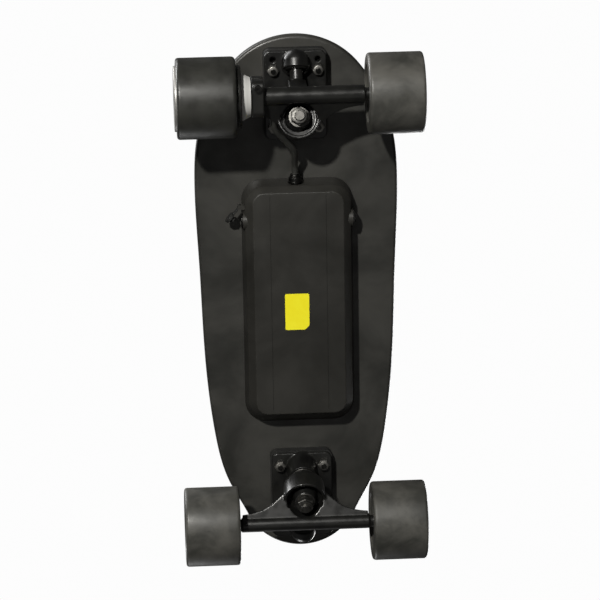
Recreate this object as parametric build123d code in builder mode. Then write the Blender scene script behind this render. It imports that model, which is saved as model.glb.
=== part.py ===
from build123d import *
import os
from math import atan2, cos, degrees, pi, sin, radians, tan

# Compact electric cruiser board: flat deck, two cast trucks, one hub-motor wheel.
# Millimetres. +Z up, standing on its wheels. +Y is the tail, +X the motor side.

# ---- driving dimensions ------------------------------------------------------------
DECK_LENGTH = 500.0
DECK_WIDTH = 189.0
DECK_THICK = 9.6
TAIL_RADIUS, TAIL_ARC = 76.6, 38.8
NOSE_RADIUS, NOSE_ARC = 56.2, 24.1
GRIP_THICK = 0.8
GRIP_INSET = 1.4

WHEEL_RADIUS = 37.0
WHEEL_INNER_X = 62.0
WHEEL_OUTER_X = 113.0
AXLE_DROP = 63.0
DECK_UNDER = WHEEL_RADIUS + AXLE_DROP

REAR_BOLTS_Y = 194.0
FRONT_BOLTS_Y = -190.0
BOLT_ACROSS = 41.3
BOLT_ROW = 26.9
SPARE_ROW = 36.6
RISER_THICK = 9.5
PLATE_WIDTH = 57.0
PLATE_IN = -38.6
PLATE_OUT = 44.6
PLATE_THICK = 5.5
PLATE_FACE = RISER_THICK + PLATE_THICK

RING_V, RING_D = -12.0, 45.5
AXLE_V, AXLE_D = 14.0, AXLE_DROP
PIVOT_V, PIVOT_D = 36.0, 22.5
KINGPIN_LEAN = 20.0
STEER_TILT = degrees(atan2(RING_D - PIVOT_D, PIVOT_V - RING_V))
WEB_TILT = 22.0
RING_RADIUS = 19.5
RECESS_RADIUS = 16.8
RING_HALF = 6.0
RING_WALL = 8.0
BUSHING_SEAT = 4.5
BUSHING_RADIUS = 12.0
BOARD_BUSHING = 13.0
ROAD_BUSHING = 11.0
WASHER_THICK = 1.2
SEAT_S = -(BUSHING_SEAT + BOARD_BUSHING + WASHER_THICK)
NUT_S = BUSHING_SEAT + ROAD_BUSHING + WASHER_THICK
PIVOT_RADIUS = 6.0

BEARING_OUT, BEARING_BORE, BEARING_WIDE = 11.0, 4.0, 7.0
INNER_BEARING_X = 68.0
OUTER_BEARING_X = 85.0
SHOULDER_X = 66.9
AXLE_END_X = 101.0

CLAMP_X0, CLAMP_X1 = 32.0, 43.2
COVER_X0, CAN_X0, TYRE_X0 = 43.8, 52.5, 57.0
TYRE_X1, CAP_X1 = 111.0, 113.0
CAN_RADIUS = 28.0
MAGNET_RADIUS = 25.0
STATOR_RADIUS = 21.9

BOX_TAIL_Y, BOX_NOSE_Y = 114.6, -122.5
BOX_HALF = 51.7
BOX_DEPTH = 28.5
GASKET_THICK = 1.0
BOX_WALL = 2.2
PORT_Y, PORT_D = 79.0, 14.6
CAP_REACH = 13.5
STRAP_ROOT = (54.0, PORT_Y + CAP_REACH, DECK_UNDER - PORT_D)
LUG_PIN = 0.8
GLAND_X = 2.0

os.makedirs("parts", exist_ok=True)


# ---- planes ------------------------------------------------------------------------
def truck_station(y, outboard):
    """Plane on the deck's underside at a bolt pattern; local y points outboard."""
    return Plane(origin=(0, y, DECK_UNDER), x_dir=(outboard, 0, 0), z_dir=(0, 0, 1))


REAR = truck_station(REAR_BOLTS_Y, 1)
FRONT = truck_station(FRONT_BOLTS_Y, -1)
TRUCKS = (("rear", REAR), ("front", FRONT))


def level(truck, depth):
    """Parallel to the deck, at a depth under it."""
    return truck.offset(-depth)


def kingpin(truck, s):
    """Square to the kingpin, s from the hanger ring's middle towards the nut."""
    turn = Rot(180 + KINGPIN_LEAN, 0, 0)
    return Plane(truck.location * Pos(0, RING_V, -RING_D) * turn * Pos(0, 0, s))


def pivot(truck, s):
    """Square to the steering axis, s from the pivot's ball centre towards the ring."""
    turn = Rot(90 + STEER_TILT, 0, 0)
    return Plane(truck.location * Pos(0, PIVOT_V, -PIVOT_D) * turn * Pos(0, 0, s))


def web_plane(truck):
    """Through the axle, leaning past the ring; local y runs from the axle to the ring."""
    return Plane(truck.location * Pos(0, AXLE_V, -AXLE_D) * Rot(180 - WEB_TILT, 0, 0))


def across(truck, x):
    """Square to the axle at x; local x is outboard, local y is up."""
    origin = truck.from_local_coords((x, 0, 0))
    return Plane(origin=origin, x_dir=truck.y_dir, z_dir=truck.x_dir)


def side(x):
    """Square to the world X axis at x; local x is the tail, local y is up."""
    return Plane(origin=(x, 0, 0), x_dir=(0, 1, 0), z_dir=(1, 0, 0))


def save(solid, name):
    solid.label = name
    export_step(solid, f"parts/{name}.step")


def ring_on(plane, outer, inner, amount):
    """Adds a plain ring or disc to the current part."""
    with BuildSketch(plane) as shape:
        Circle(outer)
        if inner:
            Circle(inner, mode=Mode.SUBTRACT)
    extrude(shape.sketch, amount=amount)


def bore_on(plane, radius, amount):
    with BuildSketch(plane) as shape:
        Circle(radius)
    extrude(shape.sketch, amount=amount, mode=Mode.SUBTRACT)


# ---- deck and grip -----------------------------------------------------------------
def deck_outline(inset):
    """Teardrop outline: round tail, widest behind the middle, narrower round nose."""
    half = DECK_WIDTH / 2 - inset
    tail_y, tail_r = DECK_LENGTH / 2 - TAIL_RADIUS, TAIL_RADIUS - inset
    nose_y, nose_r = NOSE_RADIUS - DECK_LENGTH / 2, NOSE_RADIUS - inset
    ts, tc = sin(radians(TAIL_ARC)), cos(radians(TAIL_ARC))
    ns, nc = sin(radians(NOSE_ARC)), cos(radians(NOSE_ARC))
    tail_end, nose_end = (tail_r * tc, tail_y + tail_r * ts), (nose_r * nc, nose_y - nose_r * ns)
    with BuildLine() as outline:
        ThreePointArc((-tail_end[0], tail_end[1]), (0, tail_y + tail_r), tail_end)
        flank = Spline(
            tail_end, (half - 4.4, 159.5), (half, 115.0), (half - 2.6, 30.0),
            (half - 6.6, -71.0), (half - 13.5, -134.0), (half - 26.4, -184.0), nose_end,
            tangents=((ts, -tc), (-ns, -nc)),
        )
        ThreePointArc(nose_end, (0, nose_y - nose_r), (-nose_end[0], nose_end[1]))
        mirror(flank, about=Plane.YZ)
    make_face(outline.edges())


def bolt_spots(truck, rows):
    return [truck.from_local_coords((x, v, 0)) for v in rows
            for x in (-BOLT_ACROSS / 2, BOLT_ACROSS / 2)]


BOLT_SPOTS = [(p.X, p.Y) for _, t in TRUCKS for p in bolt_spots(t, (-BOLT_ROW, BOLT_ROW))]
BOX_SCREW_SPOTS = [(x, y) for y in (99, 33, -33, -98) for x in (-44.6, 44.6)]

DECK_LEVELS = ((0.0, 2.8), (0.9, 0.9), (2.8, 0.0), (DECK_THICK - 0.9, 0.0), (DECK_THICK, 0.9))


def deck_sections():
    """Outlines from the rounded lower edge up to the eased top edge."""
    sections = []
    for height, inset in DECK_LEVELS:
        with BuildSketch(Plane.XY.offset(DECK_UNDER + height)) as shape:
            deck_outline(inset)
        sections.append(shape.sketch.faces()[0])
    return sections


with BuildPart() as deck_board:
    loft(deck_sections(), ruled=True)
    with Locations(*[(x, y, DECK_UNDER + DECK_THICK) for x, y in BOLT_SPOTS]):
        CounterSinkHole(2.6, 4.9, DECK_THICK + 1)
    with Locations(*[(x, y, DECK_UNDER + DECK_THICK) for x, y in BOX_SCREW_SPOTS]):
        CounterSinkHole(1.8, 3.4, DECK_THICK + 1)
save(deck_board.part, "deck_board")

with BuildPart() as grip_tape:
    with BuildSketch(Plane.XY.offset(DECK_UNDER + DECK_THICK)):
        deck_outline(GRIP_INSET)
    extrude(amount=GRIP_THICK)
save(grip_tape.part, "grip_tape")

with BuildPart() as truck_bolts:
    for x, y in BOLT_SPOTS:
        top = Plane(origin=(x, y, DECK_UNDER + DECK_THICK - 0.05))
        ring_on(top, 2.4, 0, -(DECK_THICK + PLATE_FACE + 7.0))
        with BuildSketch(top):
            Circle(4.7)
        extrude(amount=-2.35, taper=44.9)
        with BuildSketch(top):
            RegularPolygon(1.6, 6)
        extrude(amount=-2.0, mode=Mode.SUBTRACT)
save(truck_bolts.part, "truck_bolts")

with BuildPart() as truck_nuts:
    for x, y in BOLT_SPOTS:
        seat = Plane(origin=(x, y, DECK_UNDER - PLATE_FACE))
        with BuildSketch(seat):
            RegularPolygon(5.45, 6)
            Circle(2.42, mode=Mode.SUBTRACT)
        extrude(amount=-4.0)
        ring_on(seat.offset(-4.0), 4.3, 2.42, -1.3)
save(truck_nuts.part, "truck_nuts")

# ---- truck parts fixed to the deck ---------------------------------------------------
with BuildPart() as riser_pads:
    for _, truck in TRUCKS:
        with BuildSketch(truck):
            with Locations((0, (PLATE_IN + PLATE_OUT) / 2)):
                RectangleRounded(PLATE_WIDTH + 1.6, PLATE_OUT - PLATE_IN + 1.6, 6.5)
            with Locations(*[(x, v) for v in (-BOLT_ROW, BOLT_ROW, SPARE_ROW)
                             for x in (-BOLT_ACROSS / 2, BOLT_ACROSS / 2)]):
                Circle(2.7, mode=Mode.SUBTRACT)
        extrude(amount=-RISER_THICK)
save(riser_pads.part, "riser_pads")


def add_plate(truck):
    with BuildSketch(level(truck, RISER_THICK)) as shape:
        with Locations((0, (PLATE_IN + PLATE_OUT) / 2)):
            RectangleRounded(PLATE_WIDTH, PLATE_OUT - PLATE_IN, 6)
    extrude(shape.sketch, amount=-PLATE_THICK)


def add_pivot_housing(truck):
    """Half-round cup housing standing on the plate's outboard end."""
    ring_on(pivot(truck, -2.0), 12.0, 0, 8.0)
    with Locations(pivot(truck, 0).location):
        Sphere(12.0)
    with BuildSketch(level(truck, PLATE_FACE - 1)) as shape:
        with Locations((0, PIVOT_V - 3.0)):
            RectangleRounded(24, 19, 7)
    extrude(shape.sketch, amount=-8.5)


def cut_plate_holes(truck):
    rows = (-BOLT_ROW, BOLT_ROW, SPARE_ROW)
    with BuildSketch(level(truck, RISER_THICK)) as shape:
        with Locations(*[(x, v) for v in rows for x in (-BOLT_ACROSS / 2, BOLT_ACROSS / 2)]):
            Circle(2.6)
    extrude(shape.sketch, amount=-(PLATE_THICK + 1), mode=Mode.SUBTRACT)


def add_kingpin_boss(truck):
    with BuildSketch(kingpin(truck, SEAT_S)) as shape:
        Circle(12.6)
    extrude(shape.sketch, amount=-22, taper=-7)
    with BuildSketch(kingpin(truck, SEAT_S - 6)) as shape:
        SlotCenterToCenter(16, 11, rotation=90)
    extrude(shape.sketch, amount=-14)


def trim_above(truck, depth):
    """Cuts away whatever stands nearer the deck than the given depth."""
    with BuildSketch(level(truck, depth)) as shape:
        Rectangle(120, 160)
    extrude(shape.sketch, amount=40, mode=Mode.SUBTRACT)


def make_baseplate(truck, name):
    with BuildPart() as baseplate:
        add_plate(truck)
        add_pivot_housing(truck)
        add_kingpin_boss(truck)
        trim_above(truck, RISER_THICK)
        cut_plate_holes(truck)
        bore_on(pivot(truck, -6.6), 9.0, 30)
        with Locations(pivot(truck, 0).location):
            Sphere(9.0, mode=Mode.SUBTRACT)
        bore_on(kingpin(truck, SEAT_S + 1), 4.85, -30)
        bore_on(kingpin(truck, SEAT_S - 11), 7.3, -20)
    save(baseplate.part, name)


for end, truck in TRUCKS:
    make_baseplate(truck, f"{end}_baseplate")

with BuildPart() as pivot_cups:
    for _, truck in TRUCKS:
        with Locations(pivot(truck, 0).location):
            Sphere(8.95)
        ring_on(pivot(truck, 0), 8.95, 0, 7.5)
        bore_on(pivot(truck, 0), PIVOT_RADIUS + 0.08, 12)
        with Locations(pivot(truck, 0).location):
            Sphere(PIVOT_RADIUS + 0.08, mode=Mode.SUBTRACT)
save(pivot_cups.part, "pivot_cups")

with BuildPart() as kingpins:
    for _, truck in TRUCKS:
        ring_on(kingpin(truck, SEAT_S - 16.5), 4.76, 0, 16.5 - SEAT_S + NUT_S + 9.6)
        with BuildSketch(kingpin(truck, SEAT_S - 16.5)):
            RegularPolygon(7.1, 6)
        extrude(amount=5.4)
        with BuildSketch(kingpin(truck, NUT_S + 9.6)):
            RegularPolygon(2.5, 6)
        extrude(amount=-3.0, mode=Mode.SUBTRACT)
save(kingpins.part, "kingpins")

with BuildPart() as kingpin_nuts:
    for _, truck in TRUCKS:
        with BuildSketch(kingpin(truck, NUT_S)):
            RegularPolygon(8.25, 6)
            Circle(4.8, mode=Mode.SUBTRACT)
        extrude(amount=5.8)
        ring_on(kingpin(truck, NUT_S + 5.8), 6.6, 4.8, 2.4)
save(kingpin_nuts.part, "kingpin_nuts")

with BuildPart() as kingpin_washers:
    for _, truck in TRUCKS:
        ring_on(kingpin(truck, SEAT_S), 11.4, 4.9, WASHER_THICK)
        ring_on(kingpin(truck, NUT_S - WASHER_THICK), 9.6, 4.9, WASHER_THICK)
save(kingpin_washers.part, "kingpin_washers")

for end, truck in TRUCKS:
    with BuildPart() as board_bushing:
        ring_on(kingpin(truck, -BUSHING_SEAT), BUSHING_RADIUS, 4.95, -BOARD_BUSHING)
        fillet(board_bushing.edges().filter_by(GeomType.CIRCLE).group_by(SortBy.RADIUS)[-1], 1.2)
    save(board_bushing.part, f"{end}_board_bushing")
    with BuildPart() as road_bushing:
        with BuildSketch(kingpin(truck, BUSHING_SEAT)):
            Circle(BUSHING_RADIUS)
        extrude(amount=ROAD_BUSHING, taper=15)
        bore_on(kingpin(truck, BUSHING_SEAT), 4.95, ROAD_BUSHING)
    save(road_bushing.part, f"{end}_road_bushing")


# ---- hangers -------------------------------------------------------------------------
def add_ring_and_pin(truck):
    """The bushing ring, the web behind it and the pivot pin."""
    ring_on(kingpin(truck, -RING_HALF), RING_RADIUS, 0, 2 * RING_HALF + RING_WALL)
    with BuildSketch(across(truck, -8)) as shape:
        with BuildLine() as outline:
            Polyline((-3, -46), (6, -34), (15.5, -27), (22.5, -36), (20.5, -60), (8, -66),
                     (-4, -56), close=True)
        make_face(outline.edges())
    extrude(shape.sketch, amount=16)
    ring_on(pivot(truck, 0), PIVOT_RADIUS, 0, 26)
    with Locations(pivot(truck, 0).location):
        Sphere(PIVOT_RADIUS)


def add_web(truck, left, right, thick):
    """Web that flares from the ring's sides out along the axle bar."""
    rim = 9.6
    with BuildSketch(web_plane(truck)) as shape:
        with BuildLine() as outline:
            Line((right, 0), (right, rim))
            if right > 50:
                Spline((right, rim), (48.3, 11.0), (37.5, 14.6), (26.5, 22.2), (15.5, 32.0))
            else:
                Line((right, rim), (right, 17.4))
                Spline((right, 17.4), (26.5, 22.2), (15.5, 32.0))
            Line((15.5, 32.0), (-15.5, 32.0))
            Spline((-15.5, 32.0), (-26.5, 22.2), (-37.5, 14.6), (-48.3, 11.0), (left, rim))
            Line((left, rim), (left, 0))
            Line((left, 0), (right, 0))
        make_face(outline.edges())
    extrude(shape.sketch, amount=thick / 2, both=True)


def add_bar(truck, x0, x1, radius):
    with BuildSketch(across(truck, x0)) as shape:
        with Locations((AXLE_V, -AXLE_D)):
            Circle(radius)
    extrude(shape.sketch, amount=x1 - x0)


def cut_bar(truck, x0, x1, radius):
    with BuildSketch(across(truck, x0)) as shape:
        with Locations((AXLE_V, -AXLE_D)):
            Circle(radius)
    extrude(shape.sketch, amount=x1 - x0, mode=Mode.SUBTRACT)


def cut_kingpin_space(truck):
    """Clears the bushings, washers, nut and kingpin through the whole steering angle."""
    bore_on(kingpin(truck, -40), 6.1, 80)
    bore_on(kingpin(truck, BUSHING_SEAT), BUSHING_RADIUS + 0.35, 9.5)
    bore_on(kingpin(truck, RING_HALF), RECESS_RADIUS, 12.1)
    with BuildSketch(kingpin(truck, 18.0)) as shape:
        SlotCenterToCenter(7.0, 23.2)
    extrude(shape.sketch, amount=20, mode=Mode.SUBTRACT)
    bore_on(kingpin(truck, -BUSHING_SEAT), BUSHING_RADIUS + 0.35, -9.5)
    bore_on(kingpin(truck, -13.5), 16.5, -16)


# The motor lead: out of the hollow shaft, through the hanger and down to the gland.
LEAD_RADIUS = 3.0
AXLE_Y, AXLE_Z = REAR_BOLTS_Y + AXLE_V, WHEEL_RADIUS
GLAND_Z = DECK_UNDER - PORT_D
LEAD_POINTS = (
    (76, AXLE_Y, AXLE_Z), (25, AXLE_Y, AXLE_Z), (22.8, 175, 49.6), (2.8, 149, 69.5),
    (GLAND_X, 131, GLAND_Z), (GLAND_X, 104, GLAND_Z),
)
LEAD_BENDS = (7.0, 24.0, 24.0, 18.0)


def lead_path():
    with BuildLine() as path:
        FilletPolyline(*LEAD_POINTS, radius=LEAD_BENDS)
    return path


def sweep_lead(radius, mode=Mode.ADD):
    path = lead_path()
    with BuildSketch(path.line ^ 0) as shape:
        Circle(radius)
    sweep(shape.sketch, path=path.line, mode=mode)


with BuildPart() as front_hanger:
    add_ring_and_pin(FRONT)
    add_web(FRONT, -59, 59, 8.4)
    add_bar(FRONT, -60, 60, 6.8)
    add_bar(FRONT, -SHOULDER_X, SHOULDER_X, 5.6)
    cut_kingpin_space(FRONT)
    cut_bar(FRONT, -70, 70, 4.0)
save(front_hanger.part, "front_hanger")

with BuildPart() as rear_hanger:
    add_ring_and_pin(REAR)
    add_web(REAR, -59, 32.5, 10.4)
    add_bar(REAR, -60, CLAMP_X0 + 1, 8.2)
    add_bar(REAR, -SHOULDER_X, -50, 5.6)
    with BuildSketch(across(REAR, CLAMP_X0)):
        with Locations((AXLE_V, -AXLE_D)):
            RectangleRounded(34, 30, 6)
    extrude(amount=CLAMP_X1 - CLAMP_X0)
    cut_kingpin_space(REAR)
    cut_bar(REAR, -70, 10, 4.0)
    cut_bar(REAR, CLAMP_X0 + 1.5, 60, 6.02)
    sweep_lead(LEAD_RADIUS + 0.4, Mode.SUBTRACT)
    with BuildSketch(across(REAR, CLAMP_X0 - 1)):
        with Locations((AXLE_V + 12, -AXLE_D)):
            Rectangle(14, 1.6)
    extrude(amount=20, mode=Mode.SUBTRACT)
    with BuildSketch(level(REAR, AXLE_D + 20)):
        with Locations(((CLAMP_X0 + CLAMP_X1) / 2, AXLE_V + 11)):
            Circle(2.1)
    extrude(amount=40, mode=Mode.SUBTRACT)
save(rear_hanger.part, "rear_hanger")

with BuildPart() as clamp_bolt:
    spot = REAR.location * Pos((CLAMP_X0 + CLAMP_X1) / 2, AXLE_V + 11, -AXLE_D - 15)
    ring_on(Plane(spot), 2.0, 0, 31.5)
    ring_on(Plane(spot), 3.5, 0, -4.0)
    with BuildSketch(Plane(spot * Pos(0, 0, -4))):
        RegularPolygon(1.7, 6)
    extrude(amount=2.2, mode=Mode.SUBTRACT)
    with BuildSketch(Plane(spot * Pos(0, 0, 30))):
        RegularPolygon(4.0, 6)
    extrude(amount=3.2)
save(clamp_bolt.part, "clamp_bolt")


def axle_rod(truck, x0, x1, name):
    with BuildPart() as axle:
        add_bar(truck, x0, x1, 3.98)
        chamfer(axle.edges().filter_by(GeomType.CIRCLE), 0.6)
    save(axle.part, name)


def add_wheel_nut(truck, sign):
    """Lock nut outside the outer bearing."""
    with BuildSketch(across(truck, sign * 93.1)) as shape:
        with Locations((AXLE_V, -AXLE_D)):
            RegularPolygon(7.3, 6)
            Circle(4.0, mode=Mode.SUBTRACT)
    extrude(shape.sketch, amount=sign * 4.6)
    with BuildSketch(across(truck, sign * 97.7)) as shape:
        with Locations((AXLE_V, -AXLE_D)):
            Circle(5.8)
            Circle(4.0, mode=Mode.SUBTRACT)
    extrude(shape.sketch, amount=sign * 1.6)


def add_wheel_washers(truck, sign):
    """Speed washers either side of the bearings and the spacer between them."""
    for x, thick, radius in ((66.95, 1.0, 6.2), (75.05, 9.9, 5.4), (92.05, 1.0, 6.2)):
        with BuildSketch(across(truck, sign * x)) as shape:
            with Locations((AXLE_V, -AXLE_D)):
                Circle(radius)
                Circle(4.0, mode=Mode.SUBTRACT)
        extrude(shape.sketch, amount=sign * thick)


axle_rod(FRONT, -AXLE_END_X, AXLE_END_X, "front_axle")
axle_rod(REAR, -AXLE_END_X, 9.0, "rear_axle")

with BuildPart() as front_axle_nuts:
    add_wheel_nut(FRONT, 1)
    add_wheel_nut(FRONT, -1)
save(front_axle_nuts.part, "front_axle_nuts")

with BuildPart() as rear_axle_nut:
    add_wheel_nut(REAR, -1)
save(rear_axle_nut.part, "rear_axle_nut")

with BuildPart() as front_axle_washers:
    add_wheel_washers(FRONT, 1)
    add_wheel_washers(FRONT, -1)
save(front_axle_washers.part, "front_axle_washers")

with BuildPart() as rear_axle_washers:
    add_wheel_washers(REAR, -1)
save(rear_axle_washers.part, "rear_axle_washers")


# ---- free wheels ---------------------------------------------------------------------
def turned(truck, sign, points):
    """Revolves a profile of (distance from the middle of the board, radius) points."""
    axis_y = truck.from_local_coords((0, AXLE_V, 0)).Y
    profile = Plane(origin=(0, axis_y, WHEEL_RADIUS), x_dir=(sign, 0, 0), z_dir=(0, -sign, 0))
    with BuildSketch(profile) as shape:
        with BuildLine() as outline:
            Polyline(*points, close=True)
        make_face(outline.edges())
    revolve(shape.sketch, axis=Axis((0, axis_y, WHEEL_RADIUS), (1, 0, 0)))


def make_free_wheel(truck, sign, name):
    """Poured wheel: rounded tread, deep outer dish, shallow inner recess."""
    shoulder = 3.0
    with BuildPart() as tyre:
        turned(truck, sign, (
            (WHEEL_INNER_X, WHEEL_RADIUS - shoulder), (WHEEL_INNER_X + shoulder, WHEEL_RADIUS),
            (WHEEL_OUTER_X - shoulder, WHEEL_RADIUS), (WHEEL_OUTER_X, WHEEL_RADIUS - shoulder),
            (WHEEL_OUTER_X, 31), (WHEEL_OUTER_X - 2.5, 28.5), (94.5, 14.5), (92, 14),
            (92, BEARING_OUT), (OUTER_BEARING_X, BEARING_OUT), (OUTER_BEARING_X, 9.2),
            (75, 9.2), (75, BEARING_OUT), (INNER_BEARING_X, BEARING_OUT),
            (INNER_BEARING_X, 13.5), (WHEEL_INNER_X + 2, 24), (WHEEL_INNER_X, 26),
        ))
    save(tyre.part, f"{name}_tyre")
    with BuildPart() as bearings:
        for x in (INNER_BEARING_X, OUTER_BEARING_X):
            turned(truck, sign, (
                (x + 0.02, BEARING_BORE + 0.02), (x + BEARING_WIDE, BEARING_BORE + 0.02),
                (x + BEARING_WIDE, 6.1), (x + BEARING_WIDE - 0.5, 6.3),
                (x + BEARING_WIDE - 0.5, 9.4), (x + BEARING_WIDE, 9.6),
                (x + BEARING_WIDE, BEARING_OUT), (x + 0.02, BEARING_OUT),
                (x + 0.02, 9.6), (x + 0.5, 9.4), (x + 0.5, 6.3), (x + 0.02, 6.1),
            ))
    save(bearings.part, f"{name}_bearings")


make_free_wheel(REAR, -1, "rear_right")
make_free_wheel(FRONT, -1, "front_right")
make_free_wheel(FRONT, 1, "front_left")

# ---- motor wheel: parts that stand still ------------------------------------------------
SHAFT_X0 = CLAMP_X0 + 1.6
STATOR_X0, STATOR_X1 = 68.0, 94.0
POLES = 12

with BuildPart() as motor_shaft:
    turned(REAR, 1, (
        (SHAFT_X0, 3.5), (SHAFT_X0, 6.0), (98.6, 6.0), (98.6, 3.98), (107.0, 3.98), (107.0, 0),
        (78.0, 0), (78.0, 3.5),
    ))
save(motor_shaft.part, "motor_shaft")

with BuildPart() as stator_core:
    with BuildSketch(across(REAR, STATOR_X0)):
        with Locations((AXLE_V, -AXLE_D)):
            Circle(STATOR_RADIUS)
            Circle(6.02, mode=Mode.SUBTRACT)
            with PolarLocations(15.6, POLES, start_angle=15):
                SlotCenterToCenter(4.4, 4.4, mode=Mode.SUBTRACT)
            with PolarLocations(20.6, POLES, start_angle=15):
                Rectangle(5.0, 1.0, mode=Mode.SUBTRACT)
    extrude(amount=STATOR_X1 - STATOR_X0)
save(stator_core.part, "stator_core")

with BuildPart() as stator_windings:
    for x, amount in ((STATOR_X0 - 0.02, -5.5), (STATOR_X1 + 0.02, 3.5)):
        with BuildSketch(across(REAR, x)):
            with Locations((AXLE_V, -AXLE_D)):
                with PolarLocations(15.6, POLES):
                    SlotOverall(9.0, 6.4)
                Circle(12.0)
                Circle(9.6, mode=Mode.SUBTRACT)
        extrude(amount=amount)
save(stator_windings.part, "stator_windings")

# ---- motor wheel: turning parts -----------------------------------------------------------
with BuildPart() as motor_tyre:
    turned(REAR, 1, (
        (TYRE_X0, CAN_RADIUS + 0.02), (TYRE_X0, WHEEL_RADIUS - 3.0), (TYRE_X0 + 3.0, WHEEL_RADIUS),
        (TYRE_X1 - 3.0, WHEEL_RADIUS), (TYRE_X1, WHEEL_RADIUS - 3.0), (TYRE_X1, 30.4),
        (TYRE_X1 - 2.4, 30.4), (TYRE_X1 - 2.4, CAN_RADIUS + 0.02),
    ))
save(motor_tyre.part, "motor_tyre")

with BuildPart() as motor_can:
    turned(REAR, 1, (
        (CAN_X0, 21.5), (CAN_X0, 28.0), (CAN_X0 + 1.0, 29.0), (TYRE_X0 - 0.02, 29.0),
        (TYRE_X0 - 0.02, CAN_RADIUS), (108.0, CAN_RADIUS), (108.0, MAGNET_RADIUS),
        (60.0, MAGNET_RADIUS), (60.0, 21.5),
    ))
save(motor_can.part, "motor_can")

with BuildPart() as rotor_magnets:
    with BuildSketch(across(REAR, STATOR_X0 - 1)):
        with Locations((AXLE_V, -AXLE_D)):
            with PolarLocations(MAGNET_RADIUS - 1.5, 14):
                Rectangle(2.1, 9.0)
    extrude(amount=STATOR_X1 - STATOR_X0 + 2)
save(rotor_magnets.part, "rotor_magnets")

with BuildPart() as motor_inner_cover:
    turned(REAR, 1, (
        (COVER_X0, 14.0), (COVER_X0, 17.4), (COVER_X0 + 0.8, 18.2), (CAN_X0 - 1.5, 21.48),
        (60.0, 21.48), (60.0, 14.0),
    ))
save(motor_inner_cover.part, "motor_inner_cover")

with BuildPart() as motor_outer_cover:
    turned(REAR, 1, (
        (108.02, 24.0), (108.02, 27.98), (108.64, 27.98), (108.64, 29.8), (CAP_X1 - 1.0, 29.8), (CAP_X1, 28.8),
        (CAP_X1, 24.4), (CAP_X1 - 1.6, 24.4), (CAP_X1 - 1.6, 9.0), (107.2, 9.0),
        (107.2, 11.02), (100.0, 11.02), (100.0, 14.0), (103.5, 17.0), (103.5, 24.9),
        (108.0, 24.9), (108.0, 24.0),
    ))
    with BuildSketch(across(REAR, 120)):
        with Locations((AXLE_V, -AXLE_D)):
            with PolarLocations(19.5, 6):
                Circle(1.6)
    extrude(amount=-20, mode=Mode.SUBTRACT)
save(motor_outer_cover.part, "motor_outer_cover")

with BuildPart() as motor_cap_plate:
    turned(REAR, 1, (
        (CAP_X1 - 1.2, 0), (CAP_X1 - 1.2, 23.9), (CAP_X1 - 0.5, 23.9), (CAP_X1, 23.4),
        (CAP_X1, 0),
    ))
save(motor_cap_plate.part, "motor_cap_plate")

with BuildPart() as motor_bearings:
    turned(REAR, 1, ((46.0, 6.02), (54.0, 6.02), (54.0, 13.98), (46.0, 13.98)))
    turned(REAR, 1, ((100.0, 4.0), (107.0, 4.0), (107.0, 11.0), (100.0, 11.0)))
save(motor_bearings.part, "motor_bearings")

# ---- enclosure --------------------------------------------------------------------------
BOX_LEVELS = ((0.0, 0.0, 0.0, 0.0, 20.0), (20.5, 2.6, 2.0, 9.9, 18.0), (28.5, 9.6, 6.9, 15.5, 11.0))


def box_sections(inset, top, floor):
    """Rounded sections of the drafted box between two depths, set in by a wall."""
    sections = []
    for depth, side_in, tail_in, nose_in, corner in BOX_LEVELS:
        tail, nose = BOX_TAIL_Y - tail_in - inset, BOX_NOSE_Y + nose_in + inset
        depth_here = min(max(depth, top), floor)
        with BuildSketch(Plane.XY.offset(DECK_UNDER - depth_here)) as shape:
            with Locations((0, (tail + nose) / 2)):
                RectangleRounded(2 * (BOX_HALF - side_in - inset), tail - nose, corner - inset)
        sections.append(shape.sketch.faces()[0])
    return sections


def add_wall_pads(radius):
    """Flat seats on both long walls for the charge socket and the power button."""
    for sign in (1, -1):
        with BuildSketch(side(sign * 44.0)) as shape:
            with Locations((PORT_Y, DECK_UNDER - PORT_D)):
                Circle(radius)
        extrude(shape.sketch, amount=sign * 7.2)


def add_strap_lug():
    """Two small ears and a moulded pin that hold the port cap's strap."""
    x, y, z = STRAP_ROOT
    for low, high, reach in ((-3.6, 3.6, 51.6), (-3.6, -2.3, x + 1.6), (2.3, 3.6, x + 1.6)):
        with BuildSketch(Plane.XY.offset(z + low)) as shape:
            with Locations(((48.4 + reach) / 2, y)):
                Rectangle(reach - 48.4, 4.2)
        extrude(shape.sketch, amount=high - low)
    with BuildSketch(Plane.XY.offset(z - 3.6)) as shape:
        with Locations((x, y)):
            Circle(LUG_PIN)
    extrude(shape.sketch, amount=7.2)


with BuildPart() as enclosure_shell:
    loft(box_sections(0, GASKET_THICK, BOX_DEPTH), ruled=True)
    hollow = box_sections(BOX_WALL, GASKET_THICK - 0.01, BOX_DEPTH - BOX_WALL)
    loft(hollow, ruled=True, mode=Mode.SUBTRACT)
    with BuildSketch(Plane.XY.offset(DECK_UNDER - GASKET_THICK)):
        with Locations(*BOX_SCREW_SPOTS):
            Circle(3.6)
    extrude(amount=-16)
    add_wall_pads(8.6)
    add_strap_lug()
    with BuildSketch(Plane.XY.offset(DECK_UNDER)):
        with Locations(*BOX_SCREW_SPOTS):
            Circle(1.55)
    extrude(amount=-15, mode=Mode.SUBTRACT)
    with BuildSketch(side(-60)):
        with Locations((PORT_Y, DECK_UNDER - PORT_D)):
            Circle(6.05)
    extrude(amount=120, mode=Mode.SUBTRACT)
    with BuildSketch(Plane(origin=(GLAND_X, 100, GLAND_Z), x_dir=(1, 0, 0), z_dir=(0, 1, 0))):
        Circle(4.6)
    extrude(amount=30, mode=Mode.SUBTRACT)
    with BuildSketch(Plane.XY.offset(DECK_UNDER - BOX_DEPTH)):
        with Locations((-26, 1), (26, 1)):
            Rectangle(0.9, 208)
    extrude(amount=0.7, mode=Mode.SUBTRACT)
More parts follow.
